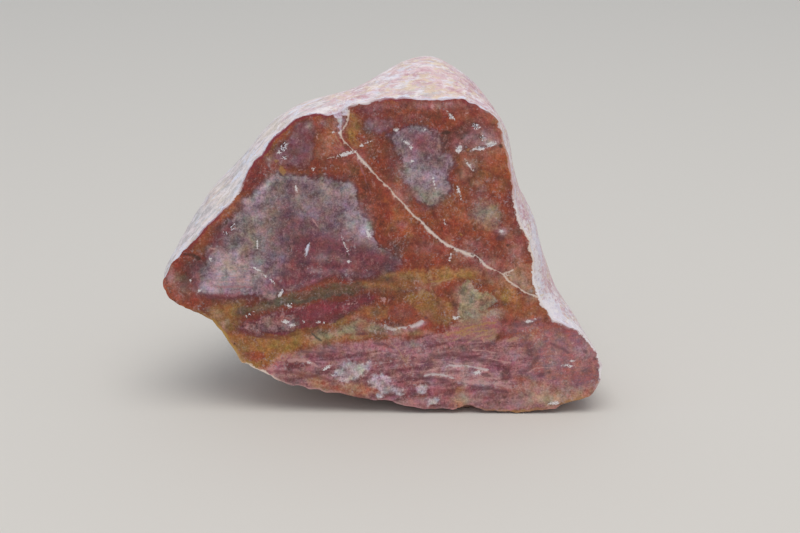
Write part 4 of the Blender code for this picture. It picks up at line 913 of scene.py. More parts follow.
def wrapped_skin(tree, edge_points, spacing):
    """Millimetre points and faces of the rind and the underside, from the sawn edge round the back"""
    heart = MIDDLE - HEART_DEPTH * OUT
    ways = edge_points - heart
    reach = np.linalg.norm(ways, axis=1)
    ways = ways / reach[:, None]
    from_back = np.arccos(np.clip(ways @ -OUT, -1, 1))
    turn = np.arctan2(ways @ UP, ways @ RIGHT)
    loop = np.stack((from_back * np.cos(turn), from_back * np.sin(turn)), axis=1)
    flat, faces = filled(loop, spacing / reach.mean())
    angle = np.linalg.norm(flat, axis=1)
    aim = flat / np.maximum(angle, TINY)[:, None]
    ways = (np.sin(angle) * aim[:, 0])[:, None] * RIGHT + (np.sin(angle) * aim[:, 1])[:, None] * UP
    ways = ways - np.cos(angle)[:, None] * OUT
    points = np.empty((len(flat), 3))
    points[:len(loop)] = edge_points
    start = Vector(heart)
    for row in range(len(loop), len(flat)):
        hit = tree.ray_cast(start, Vector(ways[row]))[0]
        if hit is None:
            raise RuntimeError("a ray from the stone's heart missed its surface")
        points[row] = hit
    return points, faces[:, ::-1]


def relaxed(points, faces, fixed, resting):
    """The points drawn towards their neighbours, so that facets fade; the first and the base stay"""
    ends = np.vstack((faces[:, (0, 1)], faces[:, (1, 2)], faces[:, (2, 0)]))
    ends = np.vstack((ends, ends[:, ::-1]))
    share = np.bincount(ends[:, 0], minlength=len(points))[:, None]
    keep = np.ones(len(points))
    keep[:fixed] = 0
    for _ in range(RELAX_PASSES):
        total = np.stack([
            np.bincount(ends[:, 0], weights=points[ends[:, 1], axis], minlength=len(points))
            for axis in range(3)], axis=1)
        step = RELAX_STEP * keep[:, None] * (total / share - points)
        step[resting, 2] = 0
        points = points + step
    return points


def to_edge(points, edge_points):
    """Distance from each point to the sawn edge"""
    tree = KDTree(len(edge_points))
    for number, point in enumerate(edge_points):
        tree.insert(Vector(point), number)
    tree.balance()
    return np.array([tree.find(Vector(point))[2] for point in points])


def attribute(mesh, name, values, kind="FLOAT"):
    """Stores a value for each point"""
    made = mesh.attributes.new(name, kind, "POINT")
    field = "value" if kind == "FLOAT" else "vector"
    made.data.foreach_set(field, np.asarray(values, np.float32).ravel())


def course(places, line, half_width):
    """How a thin line passes each place: its signed offset, its distance, and its tapered half width"""
    distance, offset, along, length = to_segments(places, rounded(line, closed=False), False)
    from_end = np.minimum(along, length - along)
    width = half_width * smooth_step(from_end, 0, LINE_END) - LINE_REACH * (from_end < 0)
    return np.stack((offset, distance, width), axis=1)


def nearest_course(places, lines):
    """The nearest of several thin lines at each place"""
    courses = np.stack([course(places, line, half_width) for half_width, line in lines])
    chosen = courses[:, :, 1].argmin(axis=0)
    return courses[chosen, np.arange(len(places))]


def mark_minerals(mesh, points, behind):
    """Stores where each mineral lies, as distances from its outlines, and how the rind lies"""
    places, depth = face_places(points)
    ragged = wander(points, size=3.0, octaves=4, seed=1)[:, (0, 2)]
    # Behind the cut face the pattern runs on, leaning as it goes
    unfolded = places + depth[:, None] * PATTERN_LEAN
    warped = unfolded + ZONE_WANDER * ragged
    for name, zone in ZONES.items():
        outlines = [signed_distance(warped, rounded(outline)) for outline in zone[-1]]
        attribute(mesh, "zone_" + name, np.max(outlines, axis=0))
    finer = unfolded + LINE_WANDER * ragged
    for name, stains in STAINS.items():
        clear = np.ones(len(points))
        for *shape, strength in stains:
            clear *= 1 - strength * np.exp(-oval(finer, *shape) ** 2)
        attribute(mesh, "stain_" + name, 1 - clear)
    for name, lines in LINES.items():
        attribute(mesh, "line_" + name, nearest_course(finer, lines), "FLOAT_VECTOR")
    for name, marks in MARKS.items():
        depths = [(1 - oval(unfolded, *mark)) * mark[3] for mark in marks]
        attribute(mesh, "mark_" + name, np.max(depths, axis=0))
    seen = places + depth[:, None] * (0.0, FRONT_SLOPE)
    # Rind patches and rims; some are painted light on the rind's shaded right side, and a painted highlight
    # down the right edge
    for kind, table, at in (("patch_", RIND_PATCHES, seen), ("rim_", RIMS, places)):
        for name, patches in table.items():
            shares = [strength * np.exp(-oval(at, *shape) ** 2) for *shape, strength in patches]
            attribute(mesh, kind + name, np.max(shares, axis=0))
    end = RIND_END + RIND_FALL * places[:, 0] + RIND_SINK * depth
    attribute(mesh, "rind", places[:, 1] - end + RIND_RAGGED * ragged[:, 0])
    attribute(mesh, "behind", behind)


def stone_mesh():
    """The whole stone as one closed mesh: the polished face, and the skin that joins it all round"""
    size = sizes()
    tree, rim = packed_surface()
    face_spacing = size.face_spacing / MM
    edge = sawn_edge(rim, EDGE_SPACING * face_spacing, size.chip_depth / MM)
    fine = [vug[:5] for vug in VUGS] + [mark for marks in MARKS.values() for mark in marks]
    flat, face_faces = filled(edge, face_spacing, fine, size.vug_spacing / MM)
    face_points, druse = sunk_face(flat, len(edge))
    edge_points = face_points[:len(edge)]
    skin_points, skin_faces = wrapped_skin(tree, edge_points, size.skin_spacing / MM)
    skin_points = relaxed(skin_points, skin_faces, len(edge), skin_points[:, 2] < RESTING)
    skin_points[:, 2] = np.maximum(skin_points[:, 2], 0)

    points = np.vstack((face_points, skin_points[len(edge):]))
    shift = len(face_points) - len(edge)
    skin_faces = np.where(skin_faces < len(edge), skin_faces, skin_faces + shift)
    mesh = bpy.data.meshes.new(SURFACE)
    faces = np.vstack((face_faces, skin_faces))
    mesh.from_pydata((points * MM).tolist(), [], faces.tolist())
    mesh.polygons.foreach_set("material_index", [0] * len(face_faces) + [1] * len(skin_faces))
    mesh.shade_smooth()

    skin = np.zeros(len(points))
    skin[len(face_points):] = 1
    from_edge = to_edge(points, edge_points)
    mark_minerals(mesh, points, from_edge)
    attribute(mesh, "skin", skin)
    near_edge = smooth_step(from_edge, 0.0, RELIEF_FROM_EDGE)
    near_floor = smooth_step(points[:, 2], *RELIEF_FROM_FLOOR)
    attribute(mesh, "relief", skin * near_edge * near_floor)
    attribute(mesh, "druse", np.concatenate((druse, np.zeros(len(points) - len(druse)))))

    # The sawn edge is the ring of the mesh's first points
    ring_steps = (1, len(edge) - 1)
    ends = [tuple(line.vertices) for line in mesh.edges]
    sharp = [max(pair) < len(edge) and abs(pair[0] - pair[1]) in ring_steps for pair in ends]
    made = mesh.attributes.new("sharp_edge", "BOOLEAN", "EDGE")
    made.data.foreach_set("value", sharp)
    mesh.validate()
    return mesh


# Node trees

class Tree:
    """Builds a node tree, with its nodes linked as they are added"""

    def __init__(self, tree):
        self.tree = tree

    def feed(self, socket, value):
        """Links a socket to an output, or sets its own value"""
        if isinstance(value, bpy.types.NodeSocket):
            self.tree.links.new(value, socket)
        elif value is not None:
            socket.default_value = value

    def add(self, kind, inputs=(), **settings):
        """A node with its settings, and its inputs fed by name or number"""
        node = self.tree.nodes.new(kind)
        for name, value in settings.items():
            setattr(node, name, value)
        pairs = inputs.items() if isinstance(inputs, dict) else enumerate(inputs)
        for key, value in pairs:
            self.feed(node.inputs[key], value)
        return node

    def group(self, node_tree, inputs):
        """What a shader node group puts out"""
        return self.add("ShaderNodeGroup", inputs, node_tree=node_tree).outputs

    def math(self, operation, *inputs, clamp=False):
        """A number worked out from others"""
        return self.add("ShaderNodeMath", inputs, operation=operation, use_clamp=clamp).outputs[0]

    def plus(self, first, *others):
        """Numbers added up"""
        for other in others:
            first = self.math("ADD", first, other)
        return first

    def minus(self, first, second):
        """The second number taken from the first"""
        return self.math("SUBTRACT", first, second)

    def times(self, first, second, clamp=False):
        """Two numbers multiplied"""
        return self.math("MULTIPLY", first, second, clamp=clamp)

    def vector(self, operation, *inputs):
        """A vector worked out from others"""
        return self.add("ShaderNodeVectorMath", inputs, operation=operation).outputs[0]

    def scaled(self, vector, by):
        """A vector made longer or shorter"""
        return self.add("ShaderNodeVectorMath", {0: vector, "Scale": by}, operation="SCALE").outputs[0]

    def moved(self, vector, shift):
        """A vector moved as far along each axis, where another part of a noise lies"""
        return self.vector("ADD", vector, (shift, shift, shift))

    def tilted(self, vector, angle):
        """A vector turned about the axis from front to back"""
        inputs = {"Vector": vector, "Angle": angle}
        return self.add("ShaderNodeVectorRotate", inputs, rotation_type="Y_AXIS").outputs[0]

    def span(self, value, low, high, to_low=0.0, to_high=1.0, smooth=False):
        """A value from one range brought to another, and held inside it"""
        inputs = {"Value": value, "From Min": low, "From Max": high, "To Min": to_low, "To Max": to_high}
        kind = "SMOOTHSTEP" if smooth else "LINEAR"
        return self.add("ShaderNodeMapRange", inputs, interpolation_type=kind).outputs[0]

    def mix(self, share, first, second, kind="MIX"):
        """Two colours mixed"""
        node = self.add("ShaderNodeMix", data_type="RGBA", blend_type=kind)
        for name, value in (("Factor_Float", share), ("A_Color", first), ("B_Color", second)):
            self.feed(next(socket for socket in node.inputs if socket.identifier == name), value)
        return next(socket for socket in node.outputs if socket.identifier == "Result_Color")

    def stored(self, name, output="Fac"):
        """A value that a shader reads from the mesh"""
        return self.add("ShaderNodeAttribute", attribute_name=name).outputs[output]

    def named(self, name):
        """A value that Geometry Nodes read from the mesh"""
        node = self.add("GeometryNodeInputNamedAttribute", data_type="FLOAT")
        node.inputs["Name"].default_value = name
        return node.outputs["Attribute"]

    def noise(self, vector, scale, detail, roughness, distortion=0.0):
        """Smooth noise from 0 to 1 at places in millimetres"""
        inputs = {"Vector": vector, "Scale": scale, "Detail": detail, "Roughness": roughness,
                  "Distortion": distortion}
        return self.add("ShaderNodeTexNoise", inputs).outputs[0]


def new_group(name, kind, inputs, outputs):
    """An empty node group with its sockets, and its input and output nodes"""
    group = bpy.data.node_groups.new(name, kind)
    for label, socket, default in inputs:
        made = group.interface.new_socket(name=label, in_out="INPUT", socket_type="NodeSocket" + socket)
        if default is not None:
            made.default_value = default
    for label, socket in outputs:
        group.interface.new_socket(name=label, in_out="OUTPUT", socket_type="NodeSocket" + socket)
    tree = Tree(group)
    source = tree.add("NodeGroupInput").outputs
    target = tree.add("NodeGroupOutput").inputs
    return tree, source, target


# Noises of the grain: shift, scale for each millimetre, detail, roughness, distortion, and the
# low and high end that become 0 and 1
GRAIN_NOISES = {
    "cloudy": (0.0, 0.13, 3, 0.55, 0.5, 0.36, 0.64),
    "lobes": (0.0, 0.36, 3, 0.6, 0.5, 0.34, 0.66),
    "small": (30.0, 1.0, 3, 0.6, 0.3, 0.34, 0.66),
    "fine": (60.0, 2.6, 2, 0.6, 0.0, 0.34, 0.66),
    "frost_beds": (120.0, 0.2, 2, 0.5, 0.0, 0.46, 0.62),
    "frost": (150.0, 1.5, 3, 0.6, 0.4, 0.55, 0.68),
    "freckle_beds": (180.0, 0.22, 2, 0.5, 0.0, 0.44, 0.60),
    "freckles": (210.0, 1.2, 3, 0.6, 0.4, 0.56, 0.70),
}
STREAKS_DIP = math.radians(7)


def grain_group():
    """Grain of the stone from a place in millimetres: mottling, streaks, grit, hairs, freckles and frost"""
    tree, source, target = new_group(
        "Stone Grain", "ShaderNodeTree", [("Place", "Vector", None)],
        [("Mottled", "Float"), ("Streaked", "Float"), ("Lobes", "Float"), ("Fine", "Float"),
         ("Cloudy", "Float"), ("Frost", "Float"), ("Freckles", "Float"), ("Hairs", "Float"),
         ("Tint", "Color")])
    spot = source["Place"]
    made = {}
    for name, (shift, scale, detail, roughness, distortion, low, high) in GRAIN_NOISES.items():
        at = tree.moved(spot, shift) if shift else spot
        made[name] = tree.span(tree.noise(at, scale, detail, roughness, distortion), low, high)
    lobes, small, fine = made["lobes"], made["small"], made["fine"]

    def shares(*pairs):
        """Noises added up, each in its share"""
        return tree.plus(*(tree.times(value, share) for value, share in pairs))

    drawn = tree.vector("MULTIPLY", tree.tilted(spot, STREAKS_DIP), (0.18, 0.8, 1.0))
    streaks = tree.span(tree.noise(drawn, 0.75, 4, 0.65, 0.5), 0.36, 0.64)

    # A hair runs wherever a noise crosses its middle value
    threads = tree.noise(tree.vector("MULTIPLY", tree.moved(spot, 12.0), (1.0, 0.8, 0.45)), 0.5, 4, 0.6, 1.2)
    ridge = tree.math("ABSOLUTE", tree.minus(threads, 0.5))
    hairs = tree.times(tree.span(ridge, 0.022, 0.002), tree.span(small, 0.3, 0.8))

    tint_noise = tree.add("ShaderNodeTexNoise", {
        "Vector": tree.moved(spot, 90.0), "Scale": 0.42, "Detail": 3.0, "Roughness": 0.6})
    vivid = tree.mix(1.0, tint_noise.outputs["Color"], (1.6, 0.9, 1.3, 1.0), "MULTIPLY")
    vivid = tree.mix(1.0, vivid, (0.27, 0.0, 0.15, 1.0), "SUBTRACT")

    # Frost lies in beds, with single dots between them
    cells = tree.add("ShaderNodeTexVoronoi", {"Vector": spot, "Scale": 1.1, "Randomness": 1.0})
    lot = tree.add("ShaderNodeSeparateColor", (cells.outputs["Color"],)).outputs[0]
    dots = tree.times(
        tree.span(cells.outputs["Distance"], 0.17, 0.08, smooth=True), tree.math("GREATER_THAN", lot, 0.72))
    frost_beds = made["frost_beds"]
    frost = tree.math(
        "MAXIMUM", tree.times(made["frost"], frost_beds),
        tree.times(dots, tree.span(frost_beds, 0, 1, 0.35, 1.0)))

    outputs = {
        "Mottled": tree.span(shares((lobes, 0.5), (small, 0.33), (fine, 0.17)), 0.2, 0.8),
        "Streaked": tree.span(shares((streaks, 0.62), (small, 0.26), (fine, 0.12)), 0.2, 0.8),
        "Lobes": shares((lobes, 0.75), (small, 0.25)),
        "Fine": fine,
        "Cloudy": made["cloudy"],
        "Frost": frost,
        "Freckles": tree.times(made["freckles"], made["freckle_beds"]),
        "Hairs": hairs,
        "Tint": vivid,
    }
    for name, value in outputs.items():
        tree.feed(target[name], value)
    return tree.tree


# Where a zone's pale rim fades and is full inside its outline, and its dark rim outside it
PALE_RIM = (1.8, 0.3)
DARK_RIM = (-1.3, -0.1)


def zone_group():
    """One mineral laid over the colours before it, with a dark fringe outside it and a pale one inside"""
    tree, source, target = new_group(
        "Mineral Zone", "ShaderNodeTree",
        [("Base", "Color", None), ("Dark", "Color", None), ("Light", "Color", None), ("Grain", "Float", 0.5),
         ("Distance", "Float", 0.0), ("Ragged", "Float", 0.0), ("Softness", "Float", 0.4),
         ("Strength", "Float", 1.0), ("Fringe", "Float", 0.0), ("Fringe Colour", "Color", None)],
        [("Colour", "Color")])
    grain, fringe = source["Grain"], source["Fringe"]
    reach = tree.plus(source["Distance"], source["Ragged"])
    part = tree.math("DIVIDE", reach, tree.times(source["Softness"], 2.0))
    mask = tree.times(tree.span(part, -0.5, 0.5, smooth=True), source["Strength"])
    own = tree.mix(grain, source["Dark"], source["Light"])
    pale = tree.times(tree.span(reach, *PALE_RIM, smooth=True), tree.span(grain, 0.3, 0.7))
    own = tree.mix(tree.times(pale, tree.times(fringe, 0.7)), own, source["Light"])
    dark = tree.times(tree.span(reach, *DARK_RIM, smooth=True), fringe)
    base = tree.mix(dark, source["Base"], source["Fringe Colour"])
    tree.feed(target["Colour"], tree.mix(mask, base, own))
    return tree.tree


def line_group():
    """Thin veins, streaks or cracks laid over the colours before them"""
    tree, source, target = new_group(
        "Mineral Line", "ShaderNodeTree",
        [("Base", "Color", None), ("Colour", "Color", None), ("Line", "Vector", None),
         ("Ragged", "Float", 0.0), ("Uneven", "Float", 0.5), ("Strength", "Float", 1.0)],
        [("Colour", "Color")])
    uneven = source["Uneven"]
    offset, distance, half_width = tree.add("ShaderNodeSeparateXYZ", (source["Line"],)).outputs
    aside = tree.math("ABSOLUTE", tree.plus(offset, tree.times(source["Ragged"], 0.35)))
    width = tree.times(half_width, tree.span(uneven, 0, 1, 0.3, 1.7))
    softness = tree.plus(0.08, tree.times(tree.math("MAXIMUM", width, 0.0), 0.8))
    part = tree.math("DIVIDE", tree.minus(aside, width), softness)
    body = tree.span(part, 0.8, -0.8, smooth=True)
    near = tree.math("LESS_THAN", distance, LINE_REACH)
    seen = tree.times(source["Strength"], tree.span(uneven, 0.0, 0.6, 0.6, 1.0))
    mask = tree.times(tree.times(body, near), seen)
    tree.feed(target["Colour"], tree.mix(mask, source["Base"], source["Colour"]))
    return tree.tree


def shade(mineral):
    """A mineral's colour as a shader takes it"""
    return (*getattr(minerals(), mineral), 1.0)


def breccia_group(grain, zone):
    """The jasper's zones and stains, from the distances stored on the mesh"""
    tree, source, target = new_group(
        "Breccia Pattern", "ShaderNodeTree", [("Place", "Vector", None)],
        [("Colour", "Color"), ("Mottled", "Float"), ("Streaked", "Float"), ("Fine", "Float"),
         ("Ragged", "Float")])
    bits = tree.group(grain, {"Place": source["Place"]})
    mottled, lobes = bits["Mottled"], bits["Lobes"]
    ragged = tree.times(tree.minus(lobes, 0.5), 1.5)
    colour = tree.mix(mottled, shade("brick"), shade("rust"))
    cloudy = tree.span(bits["Cloudy"], 0.4, 0.9, 0.0, 0.5)
    colour = tree.mix(cloudy, colour, tree.mix(lobes, shade("umber"), shade("ochre")))
    for name, (dark, light, kind, softness, strength, _) in ZONES.items():
        colour = tree.group(zone, {
            "Base": colour, "Dark": shade(dark), "Light": shade(light), "Grain": bits[kind.capitalize()],
            "Distance": tree.stored("zone_" + name), "Ragged": ragged, "Softness": softness,
            "Strength": strength, "Fringe": ZONE_FRINGE.get(name, 0.0), "Fringe Colour": shade("plum"),
        })["Colour"]
    blotches = tree.span(lobes, 0.1, 0.8, 0.45, 1.4)
    uneven = tree.mix(mottled, shade("plum"), shade("blush"))
    for name in STAINS:
        amount = tree.times(tree.stored("stain_" + name), blotches, clamp=True)
        varied = tree.mix(STAIN_VARIES.get(name, STAIN_VARIES["others"]), shade(name), uneven)
        colour = tree.mix(amount, colour, varied)
    colour = tree.mix(0.38, colour, bits["Tint"], "OVERLAY")
    fine_bits = (("Freckles", "umber", 0.6), ("Hairs", "blush", 0.4), ("Frost", "lilac", 0.5))
    for name, mineral, strength in fine_bits:
        colour = tree.mix(tree.times(bits[name], strength), colour, shade(mineral))
    lit = tree.span(bits["Fine"], 0.0, 1.0, 0.84, 1.16)
    lit = tree.add("ShaderNodeCombineColor", (lit, lit, lit)).outputs[0]
    tree.feed(target["Colour"], tree.mix(1.0, colour, lit, "MULTIPLY"))
    tree.feed(target["Ragged"], ragged)
    for name in ("Mottled", "Streaked", "Fine"):
        tree.feed(target[name], bits[name])
    return tree.tree


def detail_group(line):
    """The polished face's veins, marks and edges, over the breccia's pattern"""
    tree, source, target = new_group(
        "Breccia Details", "ShaderNodeTree",
        [("Colour", "Color", None), ("Mottled", "Float", 0.5), ("Fine", "Float", 0.5),
         ("Ragged", "Float", 0.0)],
        [("Colour", "Color")])
    colour, mottled, fine = source["Colour"], source["Mottled"], source["Fine"]
    for name in LINES:
        colour = tree.group(line, {
            "Base": colour, "Colour": shade(name), "Line": tree.stored("line_" + name, "Vector"),
            "Ragged": source["Ragged"], "Uneven": mottled, "Strength": LINE_STRENGTH[name]})["Colour"]
    # Marks, the white ones partly painted glints
    broken = tree.times(tree.minus(tree.plus(fine, mottled), 1.15), 0.32)
    for name in MARKS:
        reach = tree.plus(tree.stored("mark_" + name), broken)
        mask = tree.span(reach, -0.14, 0.14, 0.0, MARK_STRENGTH[name], smooth=True)
        colour = tree.mix(mask, colour, shade(name))
    # Rims along the sawn edge; down the right edge the pale ones are partly a painted highlight
    uneven_edge = tree.plus(tree.stored("behind"), tree.times(tree.minus(mottled, 0.5), 0.6))
    for name in RIMS:
        near_edge = tree.span(uneven_edge, RIM_WIDTH[name], 0.15, smooth=True)
        share = tree.times(tree.times(tree.stored("rim_" + name), near_edge), 1.2, clamp=True)
        colour = tree.mix(share, colour, shade(name))
    tree.feed(target["Colour"], colour)
    return tree.tree


def place_in_mm(tree):
    """Where on the piece the surface is, in millimetres"""
    return tree.scaled(tree.add("ShaderNodeTexCoord").outputs["Object"], 1 / MM)


def fresh_material(name):
    """A material with only a Principled BSDF and its output"""
    material = bpy.data.materials.new(name)
    material.use_nodes = True
    tree = Tree(material.node_tree)
    material.node_tree.nodes.clear()
    shader = tree.add("ShaderNodeBsdfPrincipled")
    output = tree.add("ShaderNodeOutputMaterial")
    tree.feed(output.inputs["Surface"], shader.outputs[0])
    return material, tree, shader.inputs


def polished_material(breccia, details):
    """The sawn and polished jasper"""
    material, tree, shader = fresh_material("polished_jasper")
    spot = place_in_mm(tree)
    pattern = tree.group(breccia, {"Place": spot})
    detailed = tree.group(details, {name: pattern[name] for name in ("Colour", "Mottled", "Fine", "Ragged")})
    tree.feed(shader["Base Color"], detailed["Colour"])
    tree.feed(shader["Roughness"], tree.span(pattern["Streaked"], 0.1, 0.9, *POLISHED_ROUGHNESS))
    height = tree.plus(tree.noise(spot, 0.16, 2, 0.5), tree.times(pattern["Fine"], 0.05))
    bump = tree.add("ShaderNodeBump", {"Height": height, "Strength": 0.35, "Distance": 0.05 * MM})
    tree.feed(shader["Normal"], bump.outputs[0])
    shader["IOR"].default_value = QUARTZ_IOR
    shader["Specular IOR Level"].default_value = 0.32
    return material


def skin_material(breccia, grain):
    """The weathered rind, and the rough jasper where it ends"""
    material, tree, shader = fresh_material("weathered_rind")
    spot = place_in_mm(tree)
    bits = tree.group(grain, {"Place": spot})
    mottled = bits["Mottled"]
    behind = tree.stored("behind")
    rind = tree.stored("rind")

    left = tree.span(tree.add("ShaderNodeSeparateXYZ", (spot,)).outputs["X"], *LEFT_SLOPE_X)
    bend = tree.vector("SUBTRACT", spot, RIND_BEND)
    slope = tree.tilted(bend, LEFT_SLOPE)
    level = tree.vector("MULTIPLY", bend, (0.28, 0.5, 1.0))
    falling = tree.vector("MULTIPLY", slope, (0.2, 0.4, 1.0))
    beds = tree.vector("ADD", level, tree.scaled(tree.vector("SUBTRACT", falling, level), left))

    def patches(shift, scale, low, high):
        """Separate patches with broken edges"""
        at = tree.vector("MULTIPLY", tree.moved(spot, shift), (0.7, 1.0, 1.0))
        return tree.span(tree.noise(at, scale, 5, 0.66, 0.6), low, high)

    def threads(shift):
        """Broken streaks that lie level on top, and along the slope on the left"""
        return tree.noise(tree.moved(beds, shift), 1.1, 5, 0.66, 0.6)

    colour = tree.mix(tree.span(threads(0.0), 0.43, 0.60), shade("rind"), shade("rind_white"))
    cool = tree.mix(tree.span(threads(9.0), 0.42, 0.58), shade("rind_grey"), shade("rind_white"))
    colour = tree.mix(tree.times(left, 0.75), colour, cool)
    for name, (shift, low, high, strength, on_left) in RIND_STREAKS.items():
        broad = tree.noise(tree.moved(spot, shift), 0.16, 2, 0.5)
        streaks = tree.plus(tree.times(threads(shift), 0.7), tree.times(broad, 0.3))
        # The patches push the streaks up; on the right side and shoulder this is partly painted light
        streaks = tree.plus(streaks, tree.times(tree.stored("patch_" + name), 0.14))
        shown = tree.span(left, 0.0, 1.0, strength, strength * on_left)
        colour = tree.mix(tree.times(tree.span(streaks, low, high), shown), colour, shade(name))
    specks = tree.times(patches(71.0, 1.3, 0.55, 0.66), tree.span(left, 0, 1, 0.35, 0.45))
    colour = tree.mix(specks, colour, shade("dove"))
    sparks = tree.times(patches(88.0, 1.6, 0.58, 0.68), 0.7)
    colour = tree.mix(sparks, colour, shade("rind_white"))

    # A cold pale band with a rough edge runs beside the cut, and a thin line of each rim's mineral,
    # which down the right edge is partly a painted highlight
    band = tree.span(tree.plus(behind, tree.times(bits["Lobes"], -2.0)), 0.2, -0.7, smooth=True)
    colour = tree.mix(tree.times(band, tree.span(mottled, 0.2, 0.8, 0.5, 0.95)), colour, shade("rind_blue"))
    line = tree.span(tree.plus(behind, tree.times(mottled, -0.8)), 0.3, 0.0)
    for name in RIMS:
        colour = tree.mix(tree.times(line, tree.stored("rim_" + name)), colour, shade(name))

    jasper = tree.group(breccia, {"Place": spot})["Colour"]
    dusty = tree.mix(0.25, jasper, shade("tan"))
    rind_edge = tree.plus(rind, tree.times(tree.minus(mottled, 0.5), 2.4))
    covered = tree.span(rind_edge, -0.25, 0.25, smooth=True)
    tree.feed(shader["Base Color"], tree.mix(covered, dusty, colour))
    tree.feed(shader["Roughness"], tree.span(covered, 0, 1, BROKEN_ROUGHNESS, RIND_ROUGHNESS))
    height = tree.plus(tree.times(mottled, 0.6), tree.times(bits["Fine"], 0.4))
    bump = tree.add("ShaderNodeBump", {"Height": height, "Strength": 0.5, "Distance": 0.12 * MM})
    tree.feed(shader["Normal"], bump.outputs[0])
    shader["Specular IOR Level"].default_value = 0.35
    return material


def quartz_material():
    """Clear crystals that line the vugs"""
    material, tree, shader = fresh_material("vug_quartz")
    milky = tree.span(tree.noise(place_in_mm(tree), 1.7, 2, 0.5), 0.52, 0.72)
    tree.feed(shader["Base Color"], tree.mix(milky, shade("quartz"), shade("pearl")))
    shader["Roughness"].default_value = 0.08
    shader["IOR"].default_value = QUARTZ_IOR
    return material


def relief_tree():
    """Geometry Nodes that wear the skin: a softly uneven rind, over a rough broken underside"""
    tree, source, target = new_group(
        "Weathered Relief", "GeometryNodeTree",
        [("Geometry", "Geometry", None), ("Rind Relief", "Float", 0.3 * MM),
         ("Broken Relief", "Float", 0.7 * MM), ("Rind Thickness", "Float", 0.5 * MM)],
        [("Geometry", "Geometry")])
    spot = tree.scaled(tree.add("GeometryNodeInputPosition").outputs[0], 1 / MM)
    soft = tree.minus(tree.noise(spot, 0.14, 2, 0.5), 0.5)
    dimples = tree.minus(tree.noise(spot, 0.5, 4, 0.6), 0.5)
    worn = tree.times(tree.plus(tree.times(soft, 2.2), tree.times(dimples, 0.9)), source["Rind Relief"])
    facets = tree.add("ShaderNodeTexVoronoi", {"Vector": spot, "Scale": 0.22})
    steps = tree.minus(facets.outputs["Distance"], 0.5)
    rough = tree.minus(tree.noise(spot, 0.7, 5, 0.62), 0.5)
    broken = tree.times(tree.plus(tree.times(steps, 1.3), tree.times(rough, 1.6)), source["Broken Relief"])
    rind_edge = tree.plus(tree.named("rind"), tree.times(dimples, 4.0))
    covered = tree.span(rind_edge, -0.45, 0.45, smooth=True)
    under = tree.minus(broken, source["Rind Thickness"])
    amount = tree.plus(tree.times(worn, covered), tree.times(under, tree.minus(1.0, covered)))
    amount = tree.times(amount, tree.named("relief"))
    push = tree.scaled(tree.add("GeometryNodeInputNormal").outputs[0], amount)
    moved = tree.vector("ADD", tree.add("GeometryNodeInputPosition").outputs[0], push)
    # The floor is at 0, and the stone is far smaller than the other two lows
    above = tree.vector("MAXIMUM", moved, (-1.0, -1.0, 0.0))
    placed = tree.add("GeometryNodeSetPosition", {"Geometry": source["Geometry"], "Position": above})
    tree.feed(target["Geometry"], placed.outputs[0])
    return tree.tree


# How far a quartz point leans from the surface, and how small and large it grows
CRYSTAL_LEAN = 0.6
CRYSTAL_GROWTH = (0.45, 1.35)


def druse_tree():
    """Geometry Nodes that grow small quartz points wherever the surface belongs to a vug"""
    tree, source, target = new_group(
        "Quartz Druse", "GeometryNodeTree",
        [("Geometry", "Geometry", None), ("Width", "Float", 0.26 * MM), ("Per Square Metre", "Float", 1.0e7),
         ("Seed", "Int", 7), ("Material", "Material", None)],
        [("Geometry", "Geometry")])
    width = source["Width"]
    density = tree.times(tree.named("druse"), source["Per Square Metre"])
    spread = tree.add("GeometryNodeDistributePointsOnFaces", {
        "Mesh": source["Geometry"], "Density": density, "Seed": source["Seed"]})
    point = tree.add("GeometryNodeMeshCone", {
        "Vertices": 6, "Side Segments": 1, "Radius Top": 0.0, "Radius Bottom": tree.times(width, 0.5),
        "Depth": tree.times(width, 1.5)})
    upright = tree.add("FunctionNodeAlignRotationToVector", {"Vector": spread.outputs["Normal"]}, axis="Z")
    lean = tree.add("FunctionNodeRandomValue", {"Seed": 3}, data_type="FLOAT_VECTOR")
    lean.inputs["Min"].default_value = (-CRYSTAL_LEAN, -CRYSTAL_LEAN, 0.0)
    lean.inputs["Max"].default_value = (CRYSTAL_LEAN, CRYSTAL_LEAN, 6.28)
    turns = {"Rotation": upright.outputs[0], "Rotate By": lean.outputs[0]}
    turn = tree.add("FunctionNodeRotateRotation", turns, rotation_space="LOCAL")
    growth = tree.add("FunctionNodeRandomValue", {"Seed": 5}, data_type="FLOAT")
    ends = (socket for socket in growth.inputs if socket.name in ("Min", "Max") and socket.enabled)
    for socket, value in zip(ends, CRYSTAL_GROWTH):
        socket.default_value = value
    grown = tree.add("GeometryNodeInstanceOnPoints", {
        "Points": spread.outputs["Points"], "Instance": point.outputs["Mesh"], "Rotation": turn.outputs[0],
        "Scale": growth.outputs[1]})
    whole = tree.add("GeometryNodeRealizeInstances", (grown.outputs[0],))
    finish = tree.add("GeometryNodeSetMaterial", {
        "Geometry": whole.outputs[0], "Material": source["Material"]})
    tree.feed(target["Geometry"], finish.outputs[0])
    return tree.tree


def through_nodes(piece, tree, values):
    """A plain mesh of what a Geometry Nodes tree makes of a piece"""
    modifier = piece.modifiers.new(tree.name, "NODES")
    modifier.node_group = tree
    inputs = {item.name: item.identifier for item in tree.interface.items_tree if item.in_out == "INPUT"}
    for name, value in values.items():
        modifier[inputs[name]] = value
    bpy.context.view_layer.update()
    evaluated = piece.evaluated_get(bpy.context.evaluated_depsgraph_get())
    mesh = bpy.data.meshes.new_from_object(evaluated)
    piece.modifiers.remove(modifier)
    return mesh


def new_piece(name, data):
    """An object in the scene that holds a mesh, a lamp or a lens"""
    piece = bpy.data.objects.new(name, data)
    bpy.context.scene.collection.objects.link(piece)
    return piece


